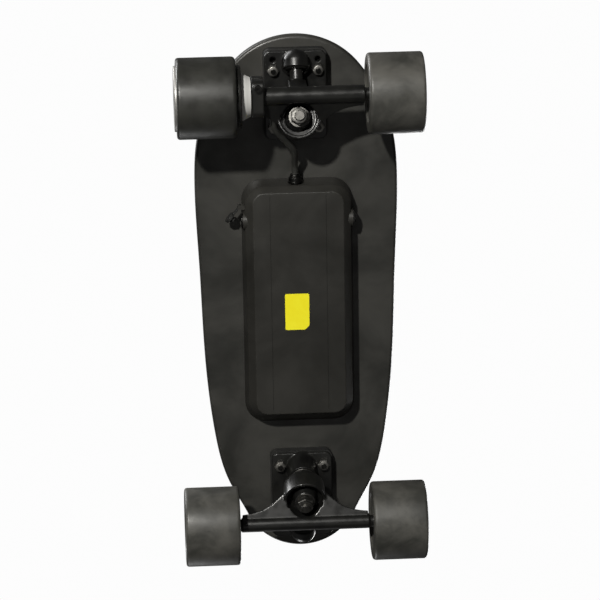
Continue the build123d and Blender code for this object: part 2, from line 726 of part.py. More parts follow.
save(enclosure_shell.part, "enclosure_shell")

with BuildPart() as enclosure_gasket:
    with BuildSketch(Plane.XY.offset(DECK_UNDER)):
        with Locations((0, (BOX_TAIL_Y + BOX_NOSE_Y) / 2)):
            RectangleRounded(2 * BOX_HALF, BOX_TAIL_Y - BOX_NOSE_Y, 20)
            RectangleRounded(2 * BOX_HALF - 4.2, BOX_TAIL_Y - BOX_NOSE_Y - 4.2, 18, mode=Mode.SUBTRACT)
    extrude(amount=-GASKET_THICK)
save(enclosure_gasket.part, "enclosure_gasket")

with BuildPart() as enclosure_screws:
    for x, y in BOX_SCREW_SPOTS:
        top = Plane(origin=(x, y, DECK_UNDER + DECK_THICK - 0.05))
        ring_on(top, 1.5, 0, -22.0)
        with BuildSketch(top):
            Circle(3.2)
        extrude(amount=-1.7, taper=44.9)
save(enclosure_screws.part, "enclosure_screws")

with BuildPart() as notice_label:
    with BuildSketch(Plane.XY.offset(DECK_UNDER - BOX_DEPTH)):
        with Locations((2.6, -6.8)):
            Rectangle(22.5, 35)
        with Locations((-8.65, -24.3)):
            Rectangle(5.6, 5.6, rotation=45, mode=Mode.SUBTRACT)
    extrude(amount=-0.25)
save(notice_label.part, "notice_label")

# ---- inside the enclosure -----------------------------------------------------------------
CELL_RADIUS, CELL_LONG, CELL_PITCH, CELLS = 9.2, 65.0, 18.9, 7
CELL_Z = DECK_UNDER - 16.2
FIRST_CELL_Y = -92.0

with BuildPart() as battery_cells:
    with BuildSketch(side(-CELL_LONG / 2)):
        with GridLocations(CELL_PITCH, 1, CELLS, 1):
            with Locations((FIRST_CELL_Y + CELL_PITCH * (CELLS - 1) / 2, CELL_Z)):
                Circle(CELL_RADIUS)
    extrude(amount=CELL_LONG)
save(battery_cells.part, "battery_cells")

with BuildPart() as cell_strips:
    for sign, first in ((1, 0), (-1, 1)):
        with BuildSketch(side(sign * (CELL_LONG / 2 + 0.02))):
            for pair in range(first, CELLS - 1, 2):
                with Locations((FIRST_CELL_Y + CELL_PITCH * (pair + 0.5), CELL_Z)):
                    Rectangle(CELL_PITCH + 7, 7)
        extrude(amount=sign * 0.3)
save(cell_strips.part, "cell_strips")

with BuildPart() as bms_board:
    with BuildSketch(Plane.XY.offset(DECK_UNDER - 2.4)):
        with Locations((0, -40)):
            Rectangle(46, 60)
    extrude(amount=-1.6)
    with BuildSketch(Plane.XY.offset(DECK_UNDER - 2.4)):
        with GridLocations(9, 40, 4, 1):
            with Locations((0, -40)):
                Rectangle(5.4, 6.2)
    extrude(amount=1.6)
save(bms_board.part, "bms_board")

with BuildPart() as controller_board:
    with BuildSketch(Plane.XY.offset(DECK_UNDER - 19)):
        with Locations((0, 70)):
            Rectangle(56, 54)
    extrude(amount=-1.6)
    with BuildSketch(Plane.XY.offset(DECK_UNDER - 19)):
        with GridLocations(8.2, 0.1, 6, 1):
            with Locations((0, 50)):
                Rectangle(6.4, 9.6)
        with Locations((-14, 66)):
            Rectangle(10, 10)
    extrude(amount=2.4)
    with BuildSketch(Plane.XY.offset(DECK_UNDER - 19)):
        with Locations((-20, 88), (-9, 88)):
            Circle(4.9)
    extrude(amount=13)
save(controller_board.part, "controller_board")

with BuildPart() as controller_heatsink:
    with BuildSketch(Plane.XY.offset(DECK_UNDER - 21)):
        with Locations((0, 70)):
            Rectangle(52, 44)
    extrude(amount=-4.4)
save(controller_heatsink.part, "controller_heatsink")


def add_wire(points, bend, radius):
    with BuildLine() as route:
        FilletPolyline(*points, radius=bend)
    with BuildSketch(route.line ^ 0) as shape:
        Circle(radius)
    sweep(shape.sketch, path=route.line)


with BuildPart() as power_leads:
    for x, drop in ((10.0, 10.5), (17.0, 10.5)):
        z = DECK_UNDER - drop
        add_wire(((x, -9.8, DECK_UNDER - 3.2), (x, 36, DECK_UNDER - 3.2), (x, 40, z),
                  (x, 64, z), (x, 66, DECK_UNDER - 18.2)), 1.6, 1.3)
save(power_leads.part, "power_leads")

# ---- socket, button, gland, lead -----------------------------------------------------------
PORT_Z = DECK_UNDER - PORT_D
PAD_X = 51.2


def wall_disc(x, radius, inner, amount):
    with BuildSketch(side(x)) as shape:
        with Locations((PORT_Y, PORT_Z)):
            Circle(radius)
            if inner:
                Circle(inner, mode=Mode.SUBTRACT)
    extrude(shape.sketch, amount=amount)


with BuildPart() as charge_socket:
    wall_disc(PAD_X, 7.6, 3.6, 1.4)
    wall_disc(PAD_X, 5.98, 3.6, -12)
    wall_disc(PAD_X - 12, 5.98, 0, -2)
save(charge_socket.part, "charge_socket")

with BuildPart() as panel_nuts:
    for sign in (1, -1):
        with BuildSketch(side(sign * 43.9)):
            with Locations((PORT_Y, PORT_Z)):
                RegularPolygon(8.6, 6)
                Circle(6.02, mode=Mode.SUBTRACT)
        extrude(amount=-sign * 2.6)
save(panel_nuts.part, "panel_nuts")

with BuildPart() as button_body:
    wall_disc(-PAD_X, 7.4, 4.5, -1.4)
    wall_disc(-PAD_X, 5.98, 4.5, 9)
    wall_disc(-PAD_X + 9, 5.98, 0, 4)
save(button_body.part, "button_body")

BUTTON_TRAVEL = 1.0
with BuildPart() as power_button:
    wall_disc(-PAD_X + 3.0, 4.2, 0, -6.2)
    fillet(power_button.faces().sort_by(Axis.X)[0].edges(), 0.8)
save(power_button.part, "power_button")

with BuildPart() as cable_gland:
    for y, radius, amount in ((106.0, 4.5, 9.0), (114.6, 7.0, 1.4), (116.0, 6.0, 4.6)):
        face = Plane(origin=(GLAND_X, y, GLAND_Z), x_dir=(1, 0, 0), z_dir=(0, 1, 0))
        ring_on(face, radius, 0, amount)
    nut_face = Plane(origin=(GLAND_X, 109.5, GLAND_Z), x_dir=(1, 0, 0), z_dir=(0, 1, 0))
    ring_on(nut_face, 6.8, 0, -2.4)
    ring_on(Plane(origin=(GLAND_X, 120.6, GLAND_Z), x_dir=(1, 0, 0), z_dir=(0, 1, 0)), 4.6, 0, 2.0)
    bore = Plane(origin=(GLAND_X, 100, GLAND_Z), x_dir=(1, 0, 0), z_dir=(0, 1, 0))
    bore_on(bore, LEAD_RADIUS + 0.02, 30)
save(cable_gland.part, "cable_gland")

with BuildPart() as motor_cable:
    sweep_lead(LEAD_RADIUS)
save(motor_cable.part, "motor_cable")

# ---- rubber port cap, hanging open on its strap ----------------------------------------------
STRAP_ANGLE = -50.0
strap = Plane(origin=STRAP_ROOT, x_dir=(cos(radians(STRAP_ANGLE)), sin(radians(STRAP_ANGLE)), 0),
              z_dir=(0, 0, 1))

with BuildPart() as charge_cap:
    with BuildSketch(strap.offset(-2.0)):
        with Locations((CAP_REACH / 2, 0)):
            Rectangle(CAP_REACH, 1.9)
        Circle(2.0)
        Circle(LUG_PIN + 0.08, mode=Mode.SUBTRACT)
    extrude(amount=4.0)
    with BuildSketch(Plane(strap.location * Pos(CAP_REACH, -1.0, 0) * Rot(90, 0, 0))):
        Circle(5.4)
    extrude(amount=-3.0)
    with BuildSketch(Plane(strap.location * Pos(CAP_REACH, -1.0, 0) * Rot(90, 0, 0))):
        Circle(2.9)
    extrude(amount=3.2)
save(charge_cap.part, "charge_cap")
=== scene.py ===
import math
import bpy
import bmesh
import numpy as np
from mathutils import Matrix, Vector


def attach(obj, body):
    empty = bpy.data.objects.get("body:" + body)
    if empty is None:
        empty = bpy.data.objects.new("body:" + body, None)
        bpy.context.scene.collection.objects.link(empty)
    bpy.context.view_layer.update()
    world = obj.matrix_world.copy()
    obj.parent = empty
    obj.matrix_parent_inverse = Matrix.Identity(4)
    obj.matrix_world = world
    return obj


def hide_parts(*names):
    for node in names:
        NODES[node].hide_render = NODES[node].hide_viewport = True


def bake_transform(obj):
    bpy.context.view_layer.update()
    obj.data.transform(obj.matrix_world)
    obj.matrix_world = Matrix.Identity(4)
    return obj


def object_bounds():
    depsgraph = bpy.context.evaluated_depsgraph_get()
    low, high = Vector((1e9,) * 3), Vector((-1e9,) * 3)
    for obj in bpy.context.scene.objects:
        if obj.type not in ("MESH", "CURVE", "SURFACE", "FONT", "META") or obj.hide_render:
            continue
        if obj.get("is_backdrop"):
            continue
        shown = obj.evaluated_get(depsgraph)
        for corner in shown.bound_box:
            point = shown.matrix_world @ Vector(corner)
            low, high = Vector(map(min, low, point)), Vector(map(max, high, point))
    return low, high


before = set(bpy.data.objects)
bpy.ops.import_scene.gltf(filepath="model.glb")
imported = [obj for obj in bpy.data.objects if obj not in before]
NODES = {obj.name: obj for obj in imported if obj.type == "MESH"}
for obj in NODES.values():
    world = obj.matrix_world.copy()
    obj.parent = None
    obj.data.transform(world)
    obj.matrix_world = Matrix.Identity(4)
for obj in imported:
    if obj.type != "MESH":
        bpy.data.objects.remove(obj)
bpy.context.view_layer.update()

MM = 0.001
STAGE = bpy.context.scene

# ---------------------------------------------------------------- camera, light, floor
TILT, SWING, ROLL = math.radians(16.7), math.radians(-3.4), math.radians(-1.4)
DISTANCE = 3.118
turn = Vector((TILT, SWING, ROLL))
look = Matrix.Rotation(turn.length, 3, turn.normalized()) @ Matrix(((-1, 0, 0), (0, -1, 0), (0, 0, 1)))
right, down, ahead = look[0].copy(), look[1].copy(), look[2].copy()
aim = Vector((0, 0, 0.1)) + right * 0.0018 + down * 0.0038
cam_data = bpy.data.cameras.new("studio_camera")
cam_data.lens, cam_data.sensor_width = 199.0, 36.0
cam_data.clip_start, cam_data.clip_end = 0.05, 200.0
camera = bpy.data.objects.new("studio_camera", cam_data)
place = Matrix((right, -down, -ahead)).transposed().to_4x4()
place.translation = aim - ahead * DISTANCE
camera.matrix_world = place
STAGE.collection.objects.link(camera)
STAGE.camera = camera
STAGE.view_settings.view_transform = "Standard"


def add_light(name, where, towards, size, power, tint=(1, 1, 1)):
    data = bpy.data.lights.new(name, "AREA")
    data.shape, data.size, data.energy, data.color = "DISK", size, power, tint
    lamp = bpy.data.objects.new(name, data)
    lamp.location = where
    aim_dir = Vector(towards) - Vector(where)
    lamp.rotation_euler = aim_dir.to_track_quat("-Z", "Y").to_euler()
    lamp.visible_camera = False
    STAGE.collection.objects.link(lamp)
    return lamp


below = Vector((0, 0, 0.08))
mirror = Vector((ahead.x, ahead.y, -ahead.z)) * 2.6
add_light("low_key", (0.84, 1.62, -2.14), below, 0.12, 82, (1.0, 0.985, 0.94))
add_light("low_sheen", below + mirror, below, 1.5, 1.1, (1.0, 0.985, 0.95))
add_light("high_key", (-1.1, -1.2, 2.6), (0, 0, 0.1), 1.6, 62)
add_light("high_fill", (1.6, 1.6, 1.9), (0, 0, 0.1), 1.8, 34)
add_light("motor_side", (2.1, 0.6, 1.9), (0, 0, 0.06), 0.6, 42)
add_light("plain_side", (-2.4, -1.2, 1.8), (0, 0, 0.06), 0.8, 9)
add_light("nose_side", (0.5, -2.6, 1.1), (0, 0, 0.06), 0.8, 9)

world = bpy.data.worlds.new("pale_studio")
world.use_nodes = True
STAGE.world = world
wt = world.node_tree
wt.nodes.clear()
w_out = wt.nodes.new("ShaderNodeOutputWorld")
w_mix = wt.nodes.new("ShaderNodeMixShader")
w_path = wt.nodes.new("ShaderNodeLightPath")
w_seen = wt.nodes.new("ShaderNodeBackground")
w_lit = wt.nodes.new("ShaderNodeBackground")
w_seen.inputs["Color"].default_value = (0.98, 0.98, 0.98, 1)
w_lit.inputs["Color"].default_value = (1.0, 0.99, 0.96, 1)
w_lit.inputs["Strength"].default_value = 0.05
wt.links.new(w_path.outputs["Is Camera Ray"], w_mix.inputs[0])
wt.links.new(w_lit.outputs[0], w_mix.inputs[1])
wt.links.new(w_seen.outputs[0], w_mix.inputs[2])
wt.links.new(w_mix.outputs[0], w_out.inputs[0])


# ---------------------------------------------------------------- material helpers
class Weave:
    """A small wrapper that adds and links shader nodes."""

    def __init__(self, name):
        self.mat = bpy.data.materials.new(name)
        self.mat.use_nodes = True
        self.tree = self.mat.node_tree
        self.tree.nodes.clear()
        self.out = self.add("ShaderNodeOutputMaterial")
        self.skin = self.add("ShaderNodeBsdfPrincipled")
        self.link(self.skin.outputs[0], self.out.inputs["Surface"])
        self.coord = self.add("ShaderNodeTexCoord").outputs["Object"]

    def add(self, kind, **props):
        node = self.tree.nodes.new(kind)
        for key, value in props.items():
            setattr(node, key, value)
        return node

    def link(self, a, b):
        self.tree.links.new(a, b)

    def math(self, op, a, b=None, c=None):
        node = self.add("ShaderNodeMath", operation=op)
        for i, v in enumerate((a, b, c)):
            if v is None:
                continue
            if isinstance(v, (int, float)):
                node.inputs[i].default_value = v
            else:
                self.link(v, node.inputs[i])
        return node.outputs[0]

    def noise(self, scale, detail=3.0, rough=0.55, vector=None, distort=0.0):
        node = self.add("ShaderNodeTexNoise")
        node.inputs["Scale"].default_value = scale
        node.inputs["Detail"].default_value = detail
        node.inputs["Roughness"].default_value = rough
        node.inputs["Distortion"].default_value = distort
        self.link(vector or self.coord, node.inputs["Vector"])
        return node.outputs["Fac"]

    def ramp(self, fac, low, high, a, b):
        node = self.add("ShaderNodeMapRange", interpolation_type="SMOOTHSTEP")
        for key, value in (("From Min", low), ("From Max", high), ("To Min", a), ("To Max", b)):
            node.inputs[key].default_value = value
        self.link(fac, node.inputs["Value"])
        return node.outputs["Result"]

    def blend(self, fac, a, b):
        node = self.add("ShaderNodeMix", data_type="RGBA")
        if isinstance(fac, (int, float)):
            node.inputs[0].default_value = fac
        else:
            self.link(fac, node.inputs[0])
        for socket, v in ((node.inputs[6], a), (node.inputs[7], b)):
            if isinstance(v, tuple):
                socket.default_value = (*v, 1)
            else:
                self.link(v, socket)
        return node.outputs[2]

    def axes(self):
        split = self.add("ShaderNodeSeparateXYZ")
        self.link(self.coord, split.inputs[0])
        return split.outputs

    def bump(self, height, strength, reach):
        node = self.add("ShaderNodeBump")
        node.inputs["Strength"].default_value = strength
        node.inputs["Distance"].default_value = reach
        self.link(height, node.inputs["Height"])
        if self.skin.inputs["Normal"].is_linked:
            self.link(self.skin.inputs["Normal"].links[0].from_socket, node.inputs["Normal"])
        self.link(node.outputs[0], self.skin.inputs["Normal"])


def satin(name, dark, light, patch, rough, spread, grain, depth, metal=0.0, coat=0.0, wear=0.0):
    """Cloudy two-tone finish with uneven gloss and a fine grain."""
    w = Weave(name)
    cloud = w.ramp(w.noise(patch, 4.0, 0.6, distort=0.4), 0.32, 0.68, 0.0, 1.0)
    tone = w.blend(cloud, dark, light)
    if wear:
        rub = w.ramp(w.noise(patch * 9, 6.0, 0.7), 0.62, 0.74, 0.0, wear)
        tone = w.blend(rub, tone, tuple(min(1.0, c * 3 + 0.02) for c in light))
    w.link(tone, w.skin.inputs["Base Color"])
    gloss = w.ramp(w.noise(patch * 3.1, 3.0, 0.5), 0.3, 0.7, rough - spread, rough + spread)
    w.link(gloss, w.skin.inputs["Roughness"])
    w.skin.inputs["Metallic"].default_value = metal
    w.skin.inputs["Coat Weight"].default_value = coat
    w.skin.inputs["Coat Roughness"].default_value = 0.2
    w.bump(w.noise(grain, 2.0, 0.6), 0.35, depth)
    return w.mat


def turned_metal(name, tone, centre, pitch, rough, painted_sheen_contrast=0.35, metal=1.0):
    """Lathe-turned metal round an X axis: fine rings, with two soft opposite fans of painted sheen (a painted
    highlight) fixed in the base colour.
    """
    w = Weave(name)
    x, y, z = w.axes()
    dy, dz = w.math("SUBTRACT", y, centre[1]), w.math("SUBTRACT", z, centre[2])
    radius = w.math("SQRT", w.math("ADD", w.math("MULTIPLY", dy, dy), w.math("MULTIPLY", dz, dz)))
    angle = w.math("ARCTAN2", dz, dy)
    around = w.add("ShaderNodeCombineXYZ")
    w.link(w.math("MULTIPLY", w.math("COSINE", angle), 5.0), around.inputs[0])
    w.link(w.math("MULTIPLY", w.math("SINE", angle), 5.0), around.inputs[1])
    w.link(w.math("MULTIPLY", radius, 12.0), around.inputs[2])
    # painted highlight: two opposite bright fans round the axle, broken up by streaks, are painted into the
    # base colour; between the fans the colour is darker
    painted_sheen_streak = w.noise(1.3, 3.0, 0.6, vector=around.outputs[0])
    painted_sheen_wave = w.math("COSINE", w.math("MULTIPLY", w.math("ADD", angle, 0.45), 2.0))
    painted_sheen_fan = w.ramp(w.math("ADD", painted_sheen_wave, w.math("MULTIPLY", painted_sheen_streak, 0.8)), 0.15, 1.6, 0.0, 1.0)
    rings = w.add("ShaderNodeCombineXYZ")
    w.link(w.math("MULTIPLY", radius, 0.22 / pitch), rings.inputs[0])
    fine = w.noise(1.0, 4.0, 0.75, vector=rings.outputs[0])
    # base colour = painted sheen fans, then darkened along the fine turning rings
    shade = w.blend(painted_sheen_fan, tuple(c * (1 - painted_sheen_contrast) for c in tone), tone)
    shade = w.blend(w.ramp(fine, 0.35, 0.65, 0.0, 0.30), shade, tuple(c * 0.45 for c in tone))
    w.link(shade, w.skin.inputs["Base Color"])
    w.link(w.ramp(fine, 0.3, 0.7, rough - 0.04, rough + 0.06), w.skin.inputs["Roughness"])
    w.skin.inputs["Metallic"].default_value = metal
    w.bump(fine, 0.25, 0.00003)
    return w.mat


REAR_HUB = (0.0, 0.208, 0.037)
FRONT_HUB = (0.0, -0.204, 0.037)

LACQUER = satin("dark_lacquer", (0.016, 0.016, 0.014), (0.042, 0.041, 0.037),
                13.0, 0.42, 0.07, 900, 0.00004, coat=0.06)
CASE = satin("moulded_case", (0.014, 0.0135, 0.0115), (0.026, 0.025, 0.022),
             14.0, 0.44, 0.06, 2600, 0.00004)
CASTING = satin("black_cast_coat", (0.004, 0.004, 0.004), (0.009, 0.009, 0.008),
                40.0, 0.36, 0.06, 1300, 0.00002, coat=0.13)
POURED = satin("poured_elastomer", (0.036, 0.036, 0.032), (0.092, 0.089, 0.080),
               26.0, 0.46, 0.08, 1500, 0.00005, wear=0.04)
TREAD = satin("motor_elastomer", (0.019, 0.019, 0.017), (0.032, 0.032, 0.028),
              30.0, 0.40, 0.07, 1500, 0.00005, wear=0.03)
RUBBER = satin("black_rubber", (0.008, 0.008, 0.008), (0.015, 0.015, 0.014),
               60.0, 0.60, 0.08, 2200, 0.00006)
BUSHING = satin("bushing_elastomer", (0.005, 0.005, 0.005), (0.010, 0.010, 0.009),
                90.0, 0.34, 0.05, 1800, 0.00003)
SHEATH = satin("lead_sheath", (0.022, 0.022, 0.020), (0.034, 0.034, 0.031),
               70.0, 0.34, 0.05, 1900, 0.00002, coat=0.25)
ZINC = satin("bright_zinc", (0.24, 0.235, 0.22), (0.34, 0.33, 0.31),
             220.0, 0.42, 0.05, 2200, 0.00001, metal=1.0)
DULL_ZINC = satin("dull_zinc", (0.10, 0.098, 0.092), (0.17, 0.165, 0.155),
                  220.0, 0.46, 0.05, 2200, 0.00001, metal=1.0)
BLACK_STEEL = satin("blackened_steel", (0.030, 0.030, 0.029), (0.060, 0.059, 0.056),
                    220.0, 0.34, 0.05, 5000, 0.00002, metal=1.0)
GROUND = satin("ground_steel", (0.42, 0.42, 0.42), (0.56, 0.56, 0.56),
               260.0, 0.22, 0.04, 6000, 0.00001, metal=1.0)
YELLOW = satin("yellow_film", (0.97, 0.86, 0.012), (1.0, 0.92, 0.022),
               60.0, 0.38, 0.05, 1800, 0.00002, coat=0.2)
BUTTON = satin("button_black", (0.010, 0.010, 0.010), (0.016, 0.016, 0.016),
               120.0, 0.25, 0.05, 2500, 0.00002)
BOARD = satin("solder_mask", (0.006, 0.05, 0.02), (0.012, 0.085, 0.035),
              180.0, 0.35, 0.06, 2500, 0.00003)
COPPER = satin("enamelled_copper", (0.45, 0.16, 0.06), (0.62, 0.26, 0.10),
               250.0, 0.35, 0.06, 2500, 0.00006, metal=1.0)
SLEEVE = satin("cell_sleeve", (0.02, 0.07, 0.20), (0.03, 0.10, 0.27), 90.0, 0.35, 0.05, 1500, 0.00003)
NICKEL = satin("nickel_strip", (0.45, 0.44, 0.40), (0.60, 0.58, 0.53),
               250.0, 0.30, 0.06, 2500, 0.00002, metal=1.0)
LAMINATE = satin("stator_laminate", (0.06, 0.06, 0.065), (0.11, 0.11, 0.115),
                 200.0, 0.50, 0.08, 2500, 0.00004, metal=0.8)
RED_LEAD = satin("red_silicone_lead", (0.28, 0.010, 0.010), (0.40, 0.020, 0.018),
                 90.0, 0.50, 0.06, 1500, 0.00003)
# the cap face carries strong painted sheen fans in its base colour; the cover metal carries only faint ones
CAP_FACE = turned_metal("turned_cap_face", (0.62, 0.61, 0.59), REAR_HUB, 0.00030, 0.42, 0.50, 0.55)
COVER_METAL = turned_metal("turned_cover_metal", (0.96, 0.95, 0.92), REAR_HUB, 0.0005, 0.46, 0.04, 0.30)
CAN_BLACK = satin("black_anodised_can", (0.016, 0.016, 0.015), (0.032, 0.032, 0.030),
                  120.0, 0.24, 0.05, 2200, 0.00003, metal=0.6)


# ---------------------------------------------------------------- mesh helpers
def piece(name, mesh, material, node_names, body, angle=32.0):
    """Turns a mesh into a finished piece that stands for CAD nodes and rides on a body."""
    obj = bpy.data.objects.new(name, mesh)
    STAGE.collection.objects.link(obj)
    if not mesh.materials:
        mesh.materials.append(material)
    mesh.polygons.foreach_set("use_smooth", [True] * len(mesh.polygons))
    mesh.set_sharp_from_angle(angle=math.radians(angle))
    mesh.update()
    if node_names:
        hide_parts(*node_names)
    if body:
        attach(obj, body)
    return obj


def tidy(bm):
    bmesh.ops.remove_doubles(bm, verts=bm.verts, dist=1e-7)
    bmesh.ops.recalc_face_normals(bm, faces=bm.faces)


def to_mesh(bm, name):
    mesh = bpy.data.meshes.new(name)
    bm.to_mesh(mesh)
    bm.free()
    return mesh


def eased(points, steps=5):
    """Rounds a closed profile's corners: each point is (a, b, radius)."""
    out = []
    count = len(points)
    for i, (a, b, r) in enumerate(points):
        p = Vector((a, b))
        if r <= 0:
            out.append(p)
            continue
        before = Vector(points[i - 1][:2]) - p
        after = Vector(points[(i + 1) % count][:2]) - p
        half = before.angle(after) / 2
        reach = min(r / max(math.tan(half), 1e-6), 0.48 * before.length, 0.48 * after.length)
        start, end = p + before.normalized() * reach, p + after.normalized() * reach
        for k in range(steps + 1):
            t = k / steps
            out.append(start * (1 - t) ** 2 + p * 2 * t * (1 - t) + end * t * t)
    return out


def lathe_bm(bm, profile, hub, side=1, segments=144, steps=5):
    """Spins a closed (distance, radius, rounding) profile, in millimetres, round the axle."""
    rings = []
    for d, r in ((p.x, p.y) for p in eased(profile, steps)):
        x = side * d * MM
        if r < 1e-4:
            rings.append([bm.verts.new((x, hub[1], hub[2]))])
            continue
        rings.append([
            bm.verts.new((x, hub[1] + r * MM * math.cos(a), hub[2] + r * MM * math.sin(a)))
            for a in (2 * math.pi * k / segments for k in range(segments))
        ])
    faces = []
    for i, low in enumerate(rings):
        high = rings[(i + 1) % len(rings)]
        if len(low) == 1 and len(high) == 1:
            continue
        for k in range(segments):
            n = (k + 1) % segments
            ring = [low[k % len(low)], low[n % len(low)], high[n % len(high)], high[k % len(high)]]
            unique = list(dict.fromkeys(ring))
            faces.append(bm.faces.new(unique))
    return faces


def lathe(name, profile, hub, side=1, segments=144, steps=5):
    bm = bmesh.new()
    lathe_bm(bm, profile, hub, side, segments, steps)
    tidy(bm)
    return to_mesh(bm, name)


def loft_bm(bm, loops, cap_start=True, cap_end=True):
    rings = [[bm.verts.new(p) for p in loop] for loop in loops]
    for low, high in zip(rings, rings[1:]):
        for k in range(len(low)):
            n = (k + 1) % len(low)
            bm.faces.new((low[k], low[n], high[n], high[k]))
    if cap_start:
        bm.faces.new(rings[0][::-1])
    if cap_end:
        bm.faces.new(rings[-1])
    return rings


def cad_mesh(node):
    """A merged copy of a CAD node's mesh."""
    bm = bmesh.new()
    bm.from_mesh(NODES[node].data)
    bmesh.ops.remove_doubles(bm, verts=bm.verts, dist=2e-6)
    return to_mesh(bm, node + "_copy")


def cast(node, voxel, rounds, name):
    """A cast-looking copy: edges and inside corners run together softly."""
    obj = bpy.data.objects.new("cast_work", cad_mesh(node))
    STAGE.collection.objects.link(obj)
    remesh = obj.modifiers.new("skin", "REMESH")
    remesh.mode, remesh.voxel_size, remesh.use_smooth_shade = "VOXEL", voxel * MM, True
    soften = obj.modifiers.new("soften", "SMOOTH")
    soften.factor, soften.iterations = 0.5, rounds
    view = bpy.context.evaluated_depsgraph_get()
    mesh = bpy.data.meshes.new_from_object(obj.evaluated_get(view))
    bpy.data.objects.remove(obj)
    mesh.name = name
    mesh.materials.clear()
    return mesh


# ---------------------------------------------------------------- deck outline
HALF_WIDE, HALF_LONG = 94.5, 250.0
TAIL_R, TAIL_ARC, NOSE_R, NOSE_ARC = 76.6, math.radians(38.8), 56.2, math.radians(24.1)
UNDER, THICK, GRIP = 100.0, 9.6, 0.8


def clamped_spline(points, first, last, per_span):
    """Cubic through the points, by chord length, with unit end directions."""
    p = np.array(points, float)
    t = np.concatenate([[0], np.cumsum(np.linalg.norm(np.diff(p, axis=0), axis=1))])
    n, h = len(p), np.diff(t)
    a, rhs = np.zeros((n, n)), np.zeros((n, 2))
    a[0, 0] = a[-1, -1] = 1
    rhs[0], rhs[-1] = first, last
    for i in range(1, n - 1):
        a[i, i - 1], a[i, i], a[i, i + 1] = h[i], 2 * (h[i - 1] + h[i]), h[i - 1]
        rhs[i] = 3 * (h[i] * (p[i] - p[i - 1]) / h[i - 1] + h[i - 1] * (p[i + 1] - p[i]) / h[i])
    m = np.linalg.solve(a, rhs)
    out = []
    for i in range(n - 1):
        for s in np.linspace(0, 1, per_span, endpoint=False):
            c = (2 * s ** 3 - 3 * s ** 2 + 1, s ** 3 - 2 * s ** 2 + s,
                 3 * s ** 2 - 2 * s ** 3, s ** 3 - s ** 2)
            out.append(c[0] * p[i] + c[1] * h[i] * m[i] + c[2] * p[i + 1] + c[3] * h[i] * m[i + 1])
    return out


def outline(inset):
    """The teardrop outline as one even loop of points, in millimetres."""
    half = HALF_WIDE - inset
    tr, nr = TAIL_R - inset, NOSE_R - inset
    ty, ny = HALF_LONG - TAIL_R, NOSE_R - HALF_LONG + 0.055
    tail = [(tr * math.sin(a), ty + tr * math.cos(a))
            for a in np.linspace(0, math.pi / 2 - TAIL_ARC, 26)[:-1]]
    nose = [(nr * math.cos(a), ny - nr * math.sin(a)) for a in np.linspace(NOSE_ARC, math.pi / 2, 30)]
    flank = clamped_spline(
        [(tr * math.cos(TAIL_ARC), ty + tr * math.sin(TAIL_ARC)), (half - 4.4, 159.5), (half, 115.0),
         (half - 2.6, 30.0), (half - 6.6, -71.0), (half - 13.5, -134.0), (half - 26.4, -184.0),
         (nr * math.cos(NOSE_ARC), ny - nr * math.sin(NOSE_ARC))],
        (math.sin(TAIL_ARC), -math.cos(TAIL_ARC)), (-math.sin(NOSE_ARC), -math.cos(NOSE_ARC)), 14)
    one = tail + [tuple(p) for p in flank] + nose
    return one + [(-x, y) for x, y in one[-2:0:-1]]


def ring_at(inset, height):
    return [(x * MM, y * MM, height * MM) for x, y in outline(inset)]


def build_deck():
    bm = bmesh.new()
    low, high = 3.0, 1.0
    loops = [ring_at(low + 3.0, UNDER), ring_at(low + 0.4, UNDER)]
    loops += [ring_at(low * (1 - math.sin(a)), UNDER + low * (1 - math.cos(a)))
              for a in np.linspace(0, math.pi / 2, 8)]
    loops += [ring_at(high * (1 - math.cos(a)), UNDER + THICK - high + high * math.sin(a))
              for a in np.linspace(0, math.pi / 2, 5)]
    loops += [ring_at(high + 0.3, UNDER + THICK), ring_at(high + 3.0, UNDER + THICK)]
    loft_bm(bm, loops)
    tidy(bm)
    return to_mesh(bm, "deck_board_shape")


def build_grip():
    bm = bmesh.new()
    base = UNDER + THICK
    loops = [ring_at(3.0, base), ring_at(1.4, base), ring_at(1.4, base + 0.55), ring_at(1.55, base + GRIP),
             ring_at(2.2, base + GRIP)]
    loft_bm(bm, loops)
    tidy(bm)
    return to_mesh(bm, "grip_sheet_shape")


